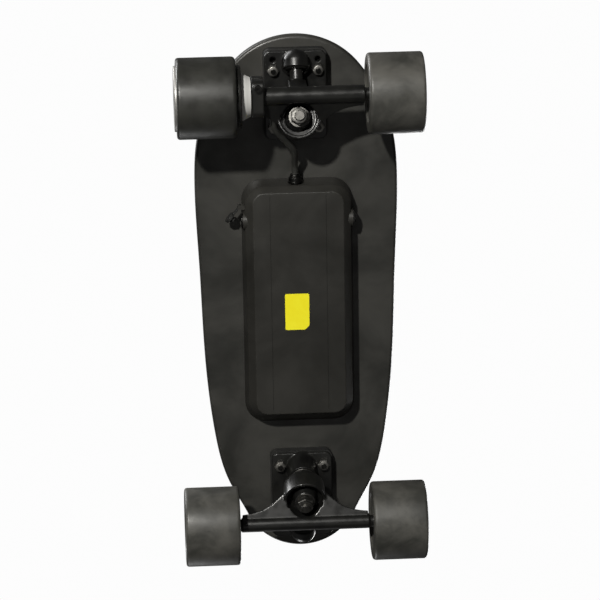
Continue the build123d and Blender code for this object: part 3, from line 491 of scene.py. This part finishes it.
def grip_material():
    """Black grit sheet with a pale stripe, dashes, a leaning oval of bars and a chevron."""
    w = Weave("grit_sheet")
    x, y, _ = w.axes()
    mm_x, mm_y = w.math("MULTIPLY", x, 1000.0), w.math("MULTIPLY", y, 1000.0)
    waver = w.math("MULTIPLY", w.math("SUBTRACT", w.noise(420, 3.0, 0.7), 0.5), 0.9)

    def inside(value, low, high, soft=0.25):
        up = w.ramp(w.math("ADD", value, waver), low - soft, low + soft, 0.0, 1.0)
        off = w.ramp(w.math("ADD", value, waver), high - soft, high + soft, 1.0, 0.0)
        return w.math("MULTIPLY", up, off)

    slant = w.math("ADD", mm_y, w.math("MULTIPLY", mm_x, 0.8))
    stem = inside(mm_x, -1.7, 1.7)
    marks = w.math("MULTIPLY", stem, inside(slant, 151.0, 248.5))
    for low, high in ((138.0, 146.5), (126.0, 134.5), (113.5, 121.5), (92.0, 109.5)):
        marks = w.math("MAXIMUM", marks, w.math("MULTIPLY", stem, inside(slant, low, high)))
    nose_stem = w.math("MULTIPLY", inside(mm_x, -2.0, 2.0), inside(slant, -179.0, -76.0))
    marks = w.math("MAXIMUM", marks, nose_stem)
    lean = math.radians(21)
    oy = w.math("SUBTRACT", mm_y, 7.0)
    along = w.math("ADD", w.math("MULTIPLY", mm_x, math.sin(lean)),
                   w.math("MULTIPLY", oy, math.cos(lean)))
    cross = w.math("SUBTRACT", w.math("MULTIPLY", mm_x, math.cos(lean)),
                   w.math("MULTIPLY", oy, math.sin(lean)))
    fa, fc = w.math("DIVIDE", along, 85.0), w.math("DIVIDE", cross, 51.4)
    oval = w.math("SQRT", w.math("ADD", w.math("MULTIPLY", fa, fa), w.math("MULTIPLY", fc, fc)))
    around = w.math("MULTIPLY", w.math("SUBTRACT", oval, 1.0), 60.0)
    marks = w.math("MAXIMUM", marks, inside(around, -1.5, 1.5))
    for mid, reach in ((0.0, 66.0), (-15.0, 60.0), (15.0, 60.0), (-29.0, 42.0), (29.0, 42.0)):
        bar = w.math("MULTIPLY", inside(cross, mid - 3.2, mid + 3.2), inside(along, -reach, reach))
        gap = w.ramp(w.math("ABSOLUTE", w.math("SUBTRACT", along, mid * 0.6)), 4.0, 4.5, 0.0, 1.0)
        marks = w.math("MAXIMUM", marks, w.math("MULTIPLY", bar, gap))
    fold = w.math("SUBTRACT", mm_y, w.math("MULTIPLY", w.math("ABSOLUTE", mm_x), 0.85))
    wing = inside(mm_x, -14.5, 14.5)
    for low, high in ((-231.0, -223.5), (-219.0, -211.5)):
        marks = w.math("MAXIMUM", marks, w.math("MULTIPLY", wing, inside(fold, low, high)))
    grit = w.noise(2600, 3.0, 0.75)
    worn = w.ramp(w.noise(950, 4.0, 0.75), 0.40, 0.56, 0.35, 1.0)
    speck = w.ramp(grit, 0.60, 0.72, 0.0, 1.0)
    ground = w.blend(w.ramp(w.noise(12, 4.0, 0.6), 0.3, 0.7, 0.0, 1.0),
                     (0.012, 0.012, 0.012), (0.022, 0.022, 0.021))
    ground = w.blend(w.math("MULTIPLY", speck, 0.5), ground, (0.11, 0.11, 0.11))
    tone = w.blend(w.math("MULTIPLY", marks, worn), ground, (0.42, 0.42, 0.40))
    w.link(tone, w.skin.inputs["Base Color"])
    w.link(w.ramp(grit, 0.3, 0.7, 0.95, 0.60), w.skin.inputs["Roughness"])
    w.bump(grit, 0.9, 0.00035)
    return w.mat


piece("deck_board_finished", build_deck(), LACQUER, ["deck_board"], "deck")
piece("grip_sheet", build_grip(), grip_material(), ["grip_tape"], "deck")

# ---------------------------------------------------------------- battery box
BOX_TAIL, BOX_NOSE, BOX_HALF, BOX_DEEP, SEAL = 114.6, -122.5, 51.7, 28.5, 1.0
PORT_Y, PORT_Z = 79.0, 85.4
SIDE_DRAFT, TAIL_DRAFT = 9.6, 6.9
CASE_WALL = 2.2
GLAND = (2.0, 114.6, 85.4)


def rounded_box(half, tail, nose, corner, height, steps=12):
    pts = []
    for sx, sy, start in ((1, 1, 0), (-1, 1, 90), (-1, -1, 180), (1, -1, 270)):
        cy = (tail - corner) if sy > 0 else (nose + corner)
        for k in range(steps + 1):
            a = math.radians(start + 90 * k / steps)
            pts.append(((sx * (half - corner) + corner * math.cos(a)) * MM,
                        (cy + corner * math.sin(a)) * MM, height * MM))
    return pts


def nose_run(depth, draft):
    """How far the nose wall has sloped in at a depth."""
    past = depth - 20.5
    bend = 0.5 * (past + math.sqrt(past * past + 4.0))
    return 0.508 * (depth - SEAL) + 0.19 * bend + 15.0 * max(0.0, draft - 1.0)


def box_loop(depth, draft, inset=0.0):
    return rounded_box(BOX_HALF - SIDE_DRAFT * draft - inset, BOX_TAIL - TAIL_DRAFT * draft - inset,
                       BOX_NOSE + nose_run(depth, draft) + inset,
                       20.0 - 9.0 * min(draft, 1.0) - inset, UNDER - depth)


def wall_profile(floor):
    """(depth, draft) from the rim to the flat, with the two bends rounded."""
    raw = [(SEAL, 0.0, 0), (20.5, 0.28, 3.0), (floor, 1.0, 1.6), (floor, 1.6, 0)]
    line = [(d, g * SIDE_DRAFT, r) for d, g, r in raw]
    return [(p.x, p.y / SIDE_DRAFT) for p in eased(line, 6)[1:-1]]


def disc_bm(bm, centre, axis, radius, length, segments=48):
    way = Vector(axis).to_track_quat("Z", "Y").to_matrix().to_4x4()
    way.translation = Vector(centre) + Vector(axis) * length / 2
    bmesh.ops.create_cone(bm, cap_ends=True, segments=segments, radius1=radius, radius2=radius,
                          depth=length, matrix=way)


def block_mm(bm, low, high):
    """Adds a plain block between two corners, in millimetres."""
    size = [(h - l) * MM for l, h in zip(low, high)]
    mid = [(h + l) / 2 * MM for l, h in zip(low, high)]
    bmesh.ops.create_cube(bm, size=1.0, matrix=Matrix.Translation(mid) @ Matrix.Diagonal((*size, 1)))


def combine(mesh, bm_other, operation):
    """Joins or cuts one closed mesh with another, exactly."""
    base = bpy.data.objects.new("combine_base", mesh)
    tool = bpy.data.objects.new("combine_tool", to_mesh(bm_other, "combine_tool"))
    STAGE.collection.objects.link(base)
    STAGE.collection.objects.link(tool)
    step = base.modifiers.new("combine", "BOOLEAN")
    step.operation, step.solver, step.object = operation, "EXACT", tool
    view = bpy.context.evaluated_depsgraph_get()
    done = bpy.data.meshes.new_from_object(base.evaluated_get(view))
    bpy.data.objects.remove(base)
    bpy.data.objects.remove(tool)
    return done


def build_case():
    bm = bmesh.new()
    outer = [box_loop(d, g) for d, g in wall_profile(BOX_DEEP)]
    inner = [box_loop(max(d, SEAL), min(g, 1.0), CASE_WALL) for d, g in wall_profile(BOX_DEEP - CASE_WALL)]
    rim = [box_loop(SEAL, 0.0, CASE_WALL), box_loop(SEAL, 0.0)]
    loft_bm(bm, inner[::-1] + rim + outer)
    tidy(bm)
    mesh = to_mesh(bm, "battery_box_shape")
    pads = bmesh.new()
    for side in (1, -1):
        disc_bm(pads, (side * 0.046, PORT_Y * MM, PORT_Z * MM), (side, 0, 0), 0.0086, 0.0052, 64)
    mesh = combine(mesh, pads, "UNION")
    lug = bmesh.new()
    y, z = PORT_Y + 13.5, PORT_Z
    block_mm(lug, (48.2, y - 2.1, z - 3.6), (51.6, y + 2.1, z + 3.6))
    mesh = combine(mesh, lug, "UNION")
    for low, high in ((-3.6, -2.3), (2.3, 3.6)):
        ear = bmesh.new()
        block_mm(ear, (50.0, y - 2.1, z + low), (55.6, y + 2.1, z + high))
        mesh = combine(mesh, ear, "UNION")
    cuts = bmesh.new()
    for side in (1, -1):
        disc_bm(cuts, (side * 0.040, PORT_Y * MM, PORT_Z * MM), (side, 0, 0), 0.0060, 0.020, 64)
        block_mm(cuts, (side * 26 - 0.45, -103.0, 70.0), (side * 26 + 0.45, 105.0, UNDER - BOX_DEEP + 0.7))
    disc_bm(cuts, (GLAND[0] * MM, 0.100, GLAND[2] * MM), (0, 1, 0), 0.0046, 0.030, 48)
    return combine(mesh, cuts, "DIFFERENCE")


piece("battery_box", build_case(), CASE, ["enclosure_shell"], "deck", 24.0)


def label_mesh():
    bm = bmesh.new()
    corners = [(-8.65, 10.7), (13.85, 10.7), (13.85, -24.3), (-4.7, -24.3), (-8.65, -20.3)]
    top, bottom = UNDER - BOX_DEEP, UNDER - BOX_DEEP - 0.25
    loft_bm(bm, [[(x * MM, y * MM, z * MM) for x, y in corners] for z in (top, bottom)])
    tidy(bm)
    upright = [e for e in bm.edges if abs(e.verts[0].co.z - e.verts[1].co.z) > 1e-5]
    bmesh.ops.bevel(bm, geom=upright, offset=0.6 * MM, segments=4, affect="EDGES")
    return to_mesh(bm, "notice_label_shape")


piece("blank_label", label_mesh(), YELLOW, ["notice_label"], "deck")

# ---------------------------------------------------------------- hex fasteners, by geometry nodes
NUT_SIZES = ("Nut Radius", "Nut Height", "Collar Radius", "Collar Height", "Bolt Radius", "Bolt Reach")
NARROWED = 0.94


def nut_tree():
    """Chamfered hex nut with a round collar and the bolt's end, one on each point."""
    tree = bpy.data.node_groups.new("hex_fastener", "GeometryNodeTree")
    face = tree.interface
    face.new_socket("Geometry", in_out="INPUT", socket_type="NodeSocketGeometry")
    for label in NUT_SIZES:
        face.new_socket(label, in_out="INPUT", socket_type="NodeSocketFloat")
    face.new_socket("Metal", in_out="INPUT", socket_type="NodeSocketMaterial")
    face.new_socket("Geometry", in_out="OUTPUT", socket_type="NodeSocketGeometry")
    n, l = tree.nodes, tree.links
    gin, gout = n.new("NodeGroupInput"), n.new("NodeGroupOutput")

    def calc(op, a, b):
        node = n.new("ShaderNodeMath")
        node.operation = op
        for i, v in enumerate((a, b)):
            if isinstance(v, (int, float)):
                node.inputs[i].default_value = v
            else:
                l.new(v, node.inputs[i])
        return node.outputs[0]

    def drum(sides, radius, height, base):
        """A prism whose two ends are eased by narrower end faces."""
        disc = n.new("GeometryNodeMeshCircle")
        disc.fill_type = "NGON"
        disc.inputs["Vertices"].default_value = sides
        l.new(radius, disc.inputs["Radius"])
        mesh, selection = disc.outputs[0], None
        shape = None
        for part, shrink in ((0.06, 1.0 / NARROWED), (0.82, 1.0), (0.12, 0.90)):
            push = n.new("GeometryNodeExtrudeMesh")
            push.mode = "FACES"
            l.new(mesh, push.inputs["Mesh"])
            if selection:
                l.new(selection, push.inputs["Selection"])
            l.new(calc("MULTIPLY", height, part), push.inputs["Offset Scale"])
            push.inputs["Individual"].default_value = False
            grow = n.new("GeometryNodeScaleElements")
            grow.domain = "FACE"
            grow.inputs["Scale"].default_value = shrink
            l.new(push.outputs["Mesh"], grow.inputs["Geometry"])
            l.new(push.outputs["Top"], grow.inputs["Selection"])
            mesh, selection = grow.outputs[0], push.outputs["Top"]
            shape = grow
        flip = n.new("GeometryNodeFlipFaces")
        l.new(disc.outputs[0], flip.inputs["Mesh"])
        join = n.new("GeometryNodeJoinGeometry")
        l.new(shape.outputs[0], join.inputs[0])
        l.new(flip.outputs[0], join.inputs[0])
        weld = n.new("GeometryNodeMergeByDistance")
        weld.inputs["Distance"].default_value = 1e-6
        l.new(join.outputs[0], weld.inputs["Geometry"])
        shift = n.new("GeometryNodeTransform")
        lift = n.new("ShaderNodeCombineXYZ")
        if isinstance(base, (int, float)):
            lift.inputs[2].default_value = base
        else:
            l.new(base, lift.inputs[2])
        l.new(weld.outputs[0], shift.inputs["Geometry"])
        l.new(lift.outputs[0], shift.inputs["Translation"])
        return shift.outputs[0]

    nut_r, nut_h, collar_r, collar_h, bolt_r, bolt_h = (gin.outputs[label] for label in NUT_SIZES)
    nut = drum(6, calc("MULTIPLY", nut_r, NARROWED), nut_h, 0.0)
    collar = drum(32, calc("MULTIPLY", collar_r, NARROWED), collar_h, nut_h)
    bolt = drum(24, calc("MULTIPLY", bolt_r, NARROWED), bolt_h, calc("MULTIPLY", nut_h, 0.5))
    join = n.new("GeometryNodeJoinGeometry")
    for part in (nut, collar, bolt):
        l.new(part, join.inputs[0])
    on = n.new("GeometryNodeInstanceOnPoints")
    l.new(gin.outputs["Geometry"], on.inputs["Points"])
    l.new(join.outputs[0], on.inputs["Instance"])
    real = n.new("GeometryNodeRealizeInstances")
    l.new(on.outputs[0], real.inputs["Geometry"])
    paint = n.new("GeometryNodeSetMaterial")
    l.new(real.outputs[0], paint.inputs["Geometry"])
    l.new(gin.outputs["Metal"], paint.inputs["Material"])
    l.new(paint.outputs[0], gout.inputs[0])
    return tree


NUT_TREE = nut_tree()


def fasteners(spots, sizes, metal, name):
    """Runs the fastener tree on a list of points and returns the plain mesh."""
    seed = bpy.data.meshes.new(name + "_spots")
    seed.from_pydata([tuple(c * MM for c in s) for s in spots], [], [])
    host = bpy.data.objects.new(name + "_host", seed)
    STAGE.collection.objects.link(host)
    step = host.modifiers.new("fasteners", "NODES")
    step.node_group = NUT_TREE
    values = dict(zip(NUT_SIZES, sizes))
    for item in NUT_TREE.interface.items_tree:
        if item.in_out == "INPUT" and item.name in values:
            step[item.identifier] = values[item.name] * MM
        elif item.in_out == "INPUT" and item.name == "Metal":
            step[item.identifier] = metal
    view = bpy.context.evaluated_depsgraph_get()
    view.update()
    mesh = bpy.data.meshes.new_from_object(host.evaluated_get(view))
    bpy.data.objects.remove(host)
    mesh.name = name
    return mesh


def flipped(mesh, matrix):
    mesh.transform(matrix)
    bm = bmesh.new()
    bm.from_mesh(mesh)
    tidy(bm)
    bm.to_mesh(mesh)
    bm.free()
    return mesh


ROWS = [(sx * 20.65, y) for y in (194 + 26.9, 194 - 26.9, -190 + 26.9, -190 - 26.9) for sx in (1, -1)]
half_turn = Matrix.Rotation(math.pi, 4, "X")
nuts = fasteners([(x, -y, -85.0) for x, y in ROWS], (5.45, 4.0, 4.4, 1.4, 2.4, 5.0), ZINC, "truck_nut_set")
nuts = flipped(nuts, half_turn)
piece("truck_nut_set", nuts, ZINC, ["truck_nuts"], "deck", 25.0)

# ---------------------------------------------------------------- trucks
LEAN = math.radians(20)
RING_V, RING_D = -12.0, 45.5
TRUCKS = {"rear": (194.0, 1), "front": (-190.0, -1)}


def kingpin_frame(end, s):
    """Matrix whose Z runs down the kingpin, at s millimetres from the ring's middle."""
    y, out = TRUCKS[end]
    way = Vector((0, out * math.sin(LEAN), -math.cos(LEAN)))
    spin = way.to_track_quat("Z", "X").to_matrix().to_4x4()
    spin.translation = Vector((0, y + out * RING_V, UNDER - RING_D)) * MM + way * s * MM
    return spin


def stem(profile, frame_matrix, name, segments=72, steps=4):
    """Spins a (height, radius, rounding) profile round a frame's Z axis."""
    mesh = lathe(name, profile, (0, 0, 0), 1, segments, steps)
    mesh.transform(frame_matrix @ Matrix(((0, 1, 0, 0), (0, 0, 1, 0), (1, 0, 0, 0), (0, 0, 0, 1))))
    return mesh


for end in TRUCKS:
    piece(f"{end}_baseplate_cast", cast(f"{end}_baseplate", 0.55, 5, f"{end}_baseplate_cast"), CASTING,
          [f"{end}_baseplate"], "deck", 60.0)
    piece(f"{end}_hanger_cast", cast(f"{end}_hanger", 0.56, 9, f"{end}_hanger_cast"), CASTING,
          [f"{end}_hanger"], f"{end}_hanger", 60.0)
    board = stem([(-17.4, 4.95, 0), (-17.4, 11.6, 1.4), (-11.5, 12.0, 1.0), (-4.6, 12.0, 1.2),
                  (-4.6, 4.95, 0)], kingpin_frame(end, 0), f"{end}_board_bushing_soft")
    low = piece(f"{end}_board_bushing_soft", board, BUSHING, [f"{end}_board_bushing"], None)
    kingpin_frame(end, -17.5).translation
    kingpin_frame(end, -4.5).translation
    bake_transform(low)
    road = stem([(4.6, 4.95, 0), (4.6, 12.0, 0.8), (6.2, 11.8, 1.0), (14.2, 9.4, 1.4), (15.4, 8.6, 0.8),
                 (15.4, 4.95, 0)], kingpin_frame(end, 0), f"{end}_road_bushing_soft")
    top = piece(f"{end}_road_bushing_soft", road, BUSHING, [f"{end}_road_bushing"], None)
    kingpin_frame(end, 15.5).translation
    kingpin_frame(end, 4.5).translation
    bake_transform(top)

washers = bmesh.new()
for end in TRUCKS:
    for low, high, radius in ((-18.7, -17.5, 11.4), (15.5, 16.7, 9.6)):
        cup = stem([(low, 4.9, 0), (low, radius, 0.5), (high, radius, 0.5), (high, 4.9, 0)],
                   kingpin_frame(end, 0), "cup")
        washers.from_mesh(cup)
piece("kingpin_washer_set", to_mesh(washers, "kingpin_washer_set"), DULL_ZINC, ["kingpin_washers"],
      "deck")

king = bmesh.new()
for end in TRUCKS:
    one = fasteners([(0, 0, 0)], (8.25, 5.8, 6.8, 2.4, 4.7, 8.2), DULL_ZINC, f"{end}_kingpin_nut")
    one.transform(kingpin_frame(end, 16.75))
    king.from_mesh(one)
tidy(king)
king_mesh = to_mesh(king, "kingpin_nut_set")
king_mesh.materials.append(DULL_ZINC)
piece("kingpin_nut_set", king_mesh, DULL_ZINC, ["kingpin_nuts"], "deck", 25.0)

# ---------------------------------------------------------------- wheels
def free_wheel(name, hub, side, body):
    profile = [
        (62.0, 37.0, 3.4), (113.0, 37.0, 3.6), (113.0, 30.6, 0.7), (111.6, 29.2, 0.8), (110.9, 28.2, 0.5),
        (95.2, 14.8, 1.6), (92.1, 13.6, 0.5), (92.1, 11.02, 0.2), (85.0, 11.02, 0), (85.0, 9.3, 0),
        (75.0, 9.3, 0), (75.0, 11.02, 0), (68.0, 11.02, 0.2), (67.8, 13.6, 0.8), (64.4, 22.5, 1.5),
        (63.6, 25.6, 0.6), (62.0, 26.6, 0.6),
    ]
    piece(f"{name}_poured_wheel", lathe(f"{name}_poured_wheel", profile, hub, side, 160, 6), POURED,
          [f"{name}_tyre"], body, 30.0)
    bm = bmesh.new()
    for x in (68.0, 85.0):
        for profile in (
            [(x, 9.3, 0.2), (x, 11.0, 0.35), (x + 7, 11.0, 0.35), (x + 7, 9.3, 0.2)],
            [(x, 4.02, 0.2), (x, 6.2, 0.2), (x + 7, 6.2, 0.2), (x + 7, 4.02, 0.2)],
        ):
            lathe_bm(bm, profile, hub, side, 96, 3)
    race_count = len(bm.faces)
    for x in (68.0, 85.0):
        lathe_bm(bm, [(x + 0.55, 6.2, 0), (x + 0.35, 7.4, 0.3), (x + 0.55, 9.3, 0), (x + 6.45, 9.3, 0),
                      (x + 6.65, 7.4, 0.3), (x + 6.45, 6.2, 0)], hub, side, 96, 3)
    for i, f in enumerate(bm.faces):
        f.material_index = 1 if i >= race_count else 0
    bmesh.ops.recalc_face_normals(bm, faces=bm.faces)
    mesh = to_mesh(bm, f"{name}_bearing_pair")
    mesh.materials.append(GROUND)
    mesh.materials.append(BLACK_STEEL)
    piece(f"{name}_bearing_pair", mesh, GROUND, [f"{name}_bearings"], body)


free_wheel("rear_right", REAR_HUB, -1, "rear_right_wheel")
free_wheel("front_left", FRONT_HUB, 1, "front_left_wheel")
free_wheel("front_right", FRONT_HUB, -1, "front_right_wheel")

for name, ends, hub, body in (
    ("rear_axle_nut", (-1,), REAR_HUB, "rear_hanger"),
    ("front_axle_nuts", (1, -1), FRONT_HUB, "front_hanger"),
):
    bm = bmesh.new()
    for side in ends:
        one = fasteners([(0, 0, 0)], (7.3, 4.6, 5.9, 1.6, 3.9, 5.6), BLACK_STEEL, name)
        spin = Matrix.Rotation(side * math.pi / 2, 4, "Y")
        spin.translation = Vector((side * 93.15 * MM, hub[1], hub[2]))
        one.transform(spin)
        bm.from_mesh(one)
    tidy(bm)
    mesh = to_mesh(bm, name + "_set")
    mesh.materials.append(BLACK_STEEL)
    piece(name + "_set", mesh, BLACK_STEEL, [name], body, 25.0)

# ---------------------------------------------------------------- hub motor wheel
def motor(name, profile, material, nodes, angle=30.0, segments=176, steps=5):
    return piece(name, lathe(name, profile, REAR_HUB, 1, segments, steps), material, nodes,
                 "motor_wheel", angle)


motor("motor_tread", [
    (57.0, 28.02, 0.2), (57.0, 37.0, 4.2), (111.0, 37.0, 3.6), (111.0, 30.5, 0.8), (108.6, 30.4, 0.3),
    (108.6, 28.02, 0),
], TREAD, ["motor_tyre"], steps=8)
motor("motor_rim", [
    (52.5, 21.5, 0.3), (52.5, 29.0, 1.2), (56.95, 29.0, 0.5), (56.95, 28.0, 0), (108.0, 28.0, 0.2),
    (108.0, 25.0, 0.2), (60.0, 25.0, 0), (60.0, 21.5, 0.2),
], CAN_BLACK, ["motor_can"])
motor("motor_flange", [
    (43.8, 14.0, 0.2), (43.8, 17.9, 0.6), (45.2, 18.4, 0.8), (51.0, 21.45, 0.4), (60.0, 21.45, 0.3),
    (60.0, 14.0, 0.3),
], COVER_METAL, ["motor_inner_cover"])
motor("motor_cap_ring", [
    (108.02, 24.0, 0), (108.02, 27.98, 0), (108.64, 27.98, 0), (108.64, 29.8, 0.3), (113.0, 29.8, 0.9),
    (113.0, 24.4, 0.35), (111.4, 24.4, 0), (111.4, 9.0, 0), (107.2, 9.0, 0), (107.2, 11.02, 0),
    (100.0, 11.02, 0), (100.0, 14.0, 0.5), (103.5, 17.0, 0.5), (103.5, 24.9, 0.3), (108.0, 24.9, 0),
], CAP_FACE, ["motor_outer_cover"])
motor("motor_cap_disc", [
    (111.8, 0.0, 0), (111.8, 23.9, 0.2), (113.0, 23.9, 0.4), (113.0, 0.0, 0),
], CAP_FACE, ["motor_cap_plate"])

# ---------------------------------------------------------------- motor lead
LEAD = [
    (76, 208, 37), (50, 208, 37), (34, 208, 37), (26.2, 207.4, 37.4), (24.6, 201, 39.7),
    (23.6, 188, 44.6), (22.6, 176, 49.4), (19.5, 170, 53.2), (6, 153, 66.4), (2.6, 147, 71.4),
    (2.1, 133, 83.8), (2, 127, 85.9), (2, 119, 85.4), (2, 104, 85.4),
]
LEAD_RADIUS = 3.0
curve = bpy.data.curves.new("motor_lead_line", "CURVE")
curve.dimensions = "3D"
line = curve.splines.new("NURBS")
line.points.add(len(LEAD) - 1)
for point, (x, y, z) in zip(line.points, LEAD):
    point.co = (x * MM, y * MM, z * MM, 1)
line.order_u = 3
line.use_endpoint_u = True
curve.resolution_u = 14
curve.bevel_depth, curve.bevel_resolution, curve.use_fill_caps = LEAD_RADIUS * MM, 6, True
lead_obj = bpy.data.objects.new("lead_work", curve)
STAGE.collection.objects.link(lead_obj)
view = bpy.context.evaluated_depsgraph_get()
lead_mesh = bpy.data.meshes.new_from_object(lead_obj.evaluated_get(view))
bpy.data.objects.remove(lead_obj)
lead_mesh.materials.clear()
lead = piece("motor_lead", lead_mesh, SHEATH, ["motor_cable"], None)
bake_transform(lead)

# ---------------------------------------------------------------- panel fittings
def panel(name, profile, side, material, nodes, body, segments=96):
    hub = (0, PORT_Y * MM, PORT_Z * MM)
    return piece(name, lathe(name, profile, hub, side, segments, 5), material, nodes, body)


panel("charge_port_collar", [
    (39.2, 0, 0), (39.2, 3.6, 0), (52.6, 3.6, 0.5), (52.6, 7.6, 0.9), (51.2, 7.6, 0.2), (51.2, 5.98, 0),
    (37.2, 5.98, 0.3), (37.2, 0, 0),
], 1, BLACK_STEEL, ["charge_socket"], "deck")
panel("button_bezel", [
    (42.2, 0, 0), (42.2, 4.5, 0), (52.6, 4.5, 0.4), (52.6, 7.4, 0.9), (51.2, 7.4, 0.2), (51.2, 5.98, 0),
    (38.2, 5.98, 0.3), (38.2, 0, 0),
], -1, BUTTON, ["button_body"], "deck")
panel("button_top", [
    (48.2, 0, 0), (48.2, 4.2, 0.2), (54.4, 4.2, 0.9), (54.1, 2.6, 0.8), (54.0, 0, 0),
], -1, BUTTON, ["power_button"], "power_button")

GLAND_PROFILE = [
    (106.0, 3.02, 0), (106.0, 4.5, 0.2), (114.5, 4.5, 0), (114.7, 7.0, 0.3), (116.0, 7.0, 0.4),
    (116.0, 6.0, 0.2), (119.2, 6.0, 1.0), (120.6, 4.6, 0.6), (122.6, 4.3, 0.5), (122.6, 3.02, 0.2),
]
gland_mesh = lathe("gland_body", GLAND_PROFILE, (0, 0, 0), 1, 72, 4)
gland_mesh.transform(Matrix(((0, 1, 0, GLAND[0] * MM), (1, 0, 0, 0), (0, 0, 1, GLAND[2] * MM), (0, 0, 0, 1))))
gland_mesh = flipped(gland_mesh, Matrix.Identity(4))
piece("lead_gland", gland_mesh, BLACK_STEEL, ["cable_gland"], "deck")

cap_mesh = cast("charge_cap", 0.28, 3, "charge_cap_moulded")
piece("charge_cap_moulded", cap_mesh, RUBBER, ["charge_cap"], "charge_cap", 60.0)

# ---------------------------------------------------------------- finishes for the nodes kept as they are
KEPT = {
    "riser_pads": RUBBER, "truck_bolts": BLACK_STEEL, "pivot_cups": BUSHING, "kingpins": ZINC,
    "enclosure_gasket": RUBBER, "enclosure_screws": BLACK_STEEL, "battery_cells": SLEEVE,
    "cell_strips": NICKEL, "bms_board": BOARD, "controller_board": BOARD,
    "controller_heatsink": COVER_METAL, "power_leads": RED_LEAD, "panel_nuts": ZINC,
    "clamp_bolt": BLACK_STEEL, "motor_shaft": GROUND, "stator_core": LAMINATE,
    "stator_windings": COPPER, "rear_axle": ZINC, "rear_axle_washers": ZINC, "rotor_magnets": NICKEL,
    "motor_bearings": GROUND, "front_axle": ZINC, "front_axle_washers": ZINC,
}
for name, material in KEPT.items():
    data = NODES[name].data
    data.materials.clear()
    data.materials.append(material)

# ---------------------------------------------------------------- pale floor
floor_mesh = bpy.data.meshes.new("studio_floor")
FLOOR_REACH, FLOOR_DROP = 40.0, -0.0002
corners = [(x * FLOOR_REACH, y * FLOOR_REACH, FLOOR_DROP) for x, y in ((-1, -1), (1, -1), (1, 1), (-1, 1))]
floor_mesh.from_pydata(corners, [], [(0, 1, 2, 3)])
studio_floor = bpy.data.objects.new("studio_floor", floor_mesh)
STAGE.collection.objects.link(studio_floor)
f = Weave("studio_floor")
f.link(f.blend(f.noise(0.8, 2.0), (0.24, 0.24, 0.24), (0.26, 0.26, 0.26)), f.skin.inputs["Base Color"])
f.skin.inputs["Roughness"].default_value = 0.9
f.skin.inputs["Emission Color"].default_value = (0.95, 0.95, 0.95, 1)
f.skin.inputs["Emission Strength"].default_value = 0.80
sides = f.add("ShaderNodeNewGeometry")
clear, mixed = f.add("ShaderNodeBsdfTransparent"), f.add("ShaderNodeMixShader")
f.link(sides.outputs["Backfacing"], mixed.inputs[0])
f.link(f.skin.outputs[0], mixed.inputs[1])
f.link(clear.outputs[0], mixed.inputs[2])
f.link(mixed.outputs[0], f.out.inputs["Surface"])
floor_mesh.materials.append(f.mat)
studio_floor.visible_shadow = studio_floor.visible_diffuse = studio_floor.visible_glossy = False
studio_floor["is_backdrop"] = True

low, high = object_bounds()
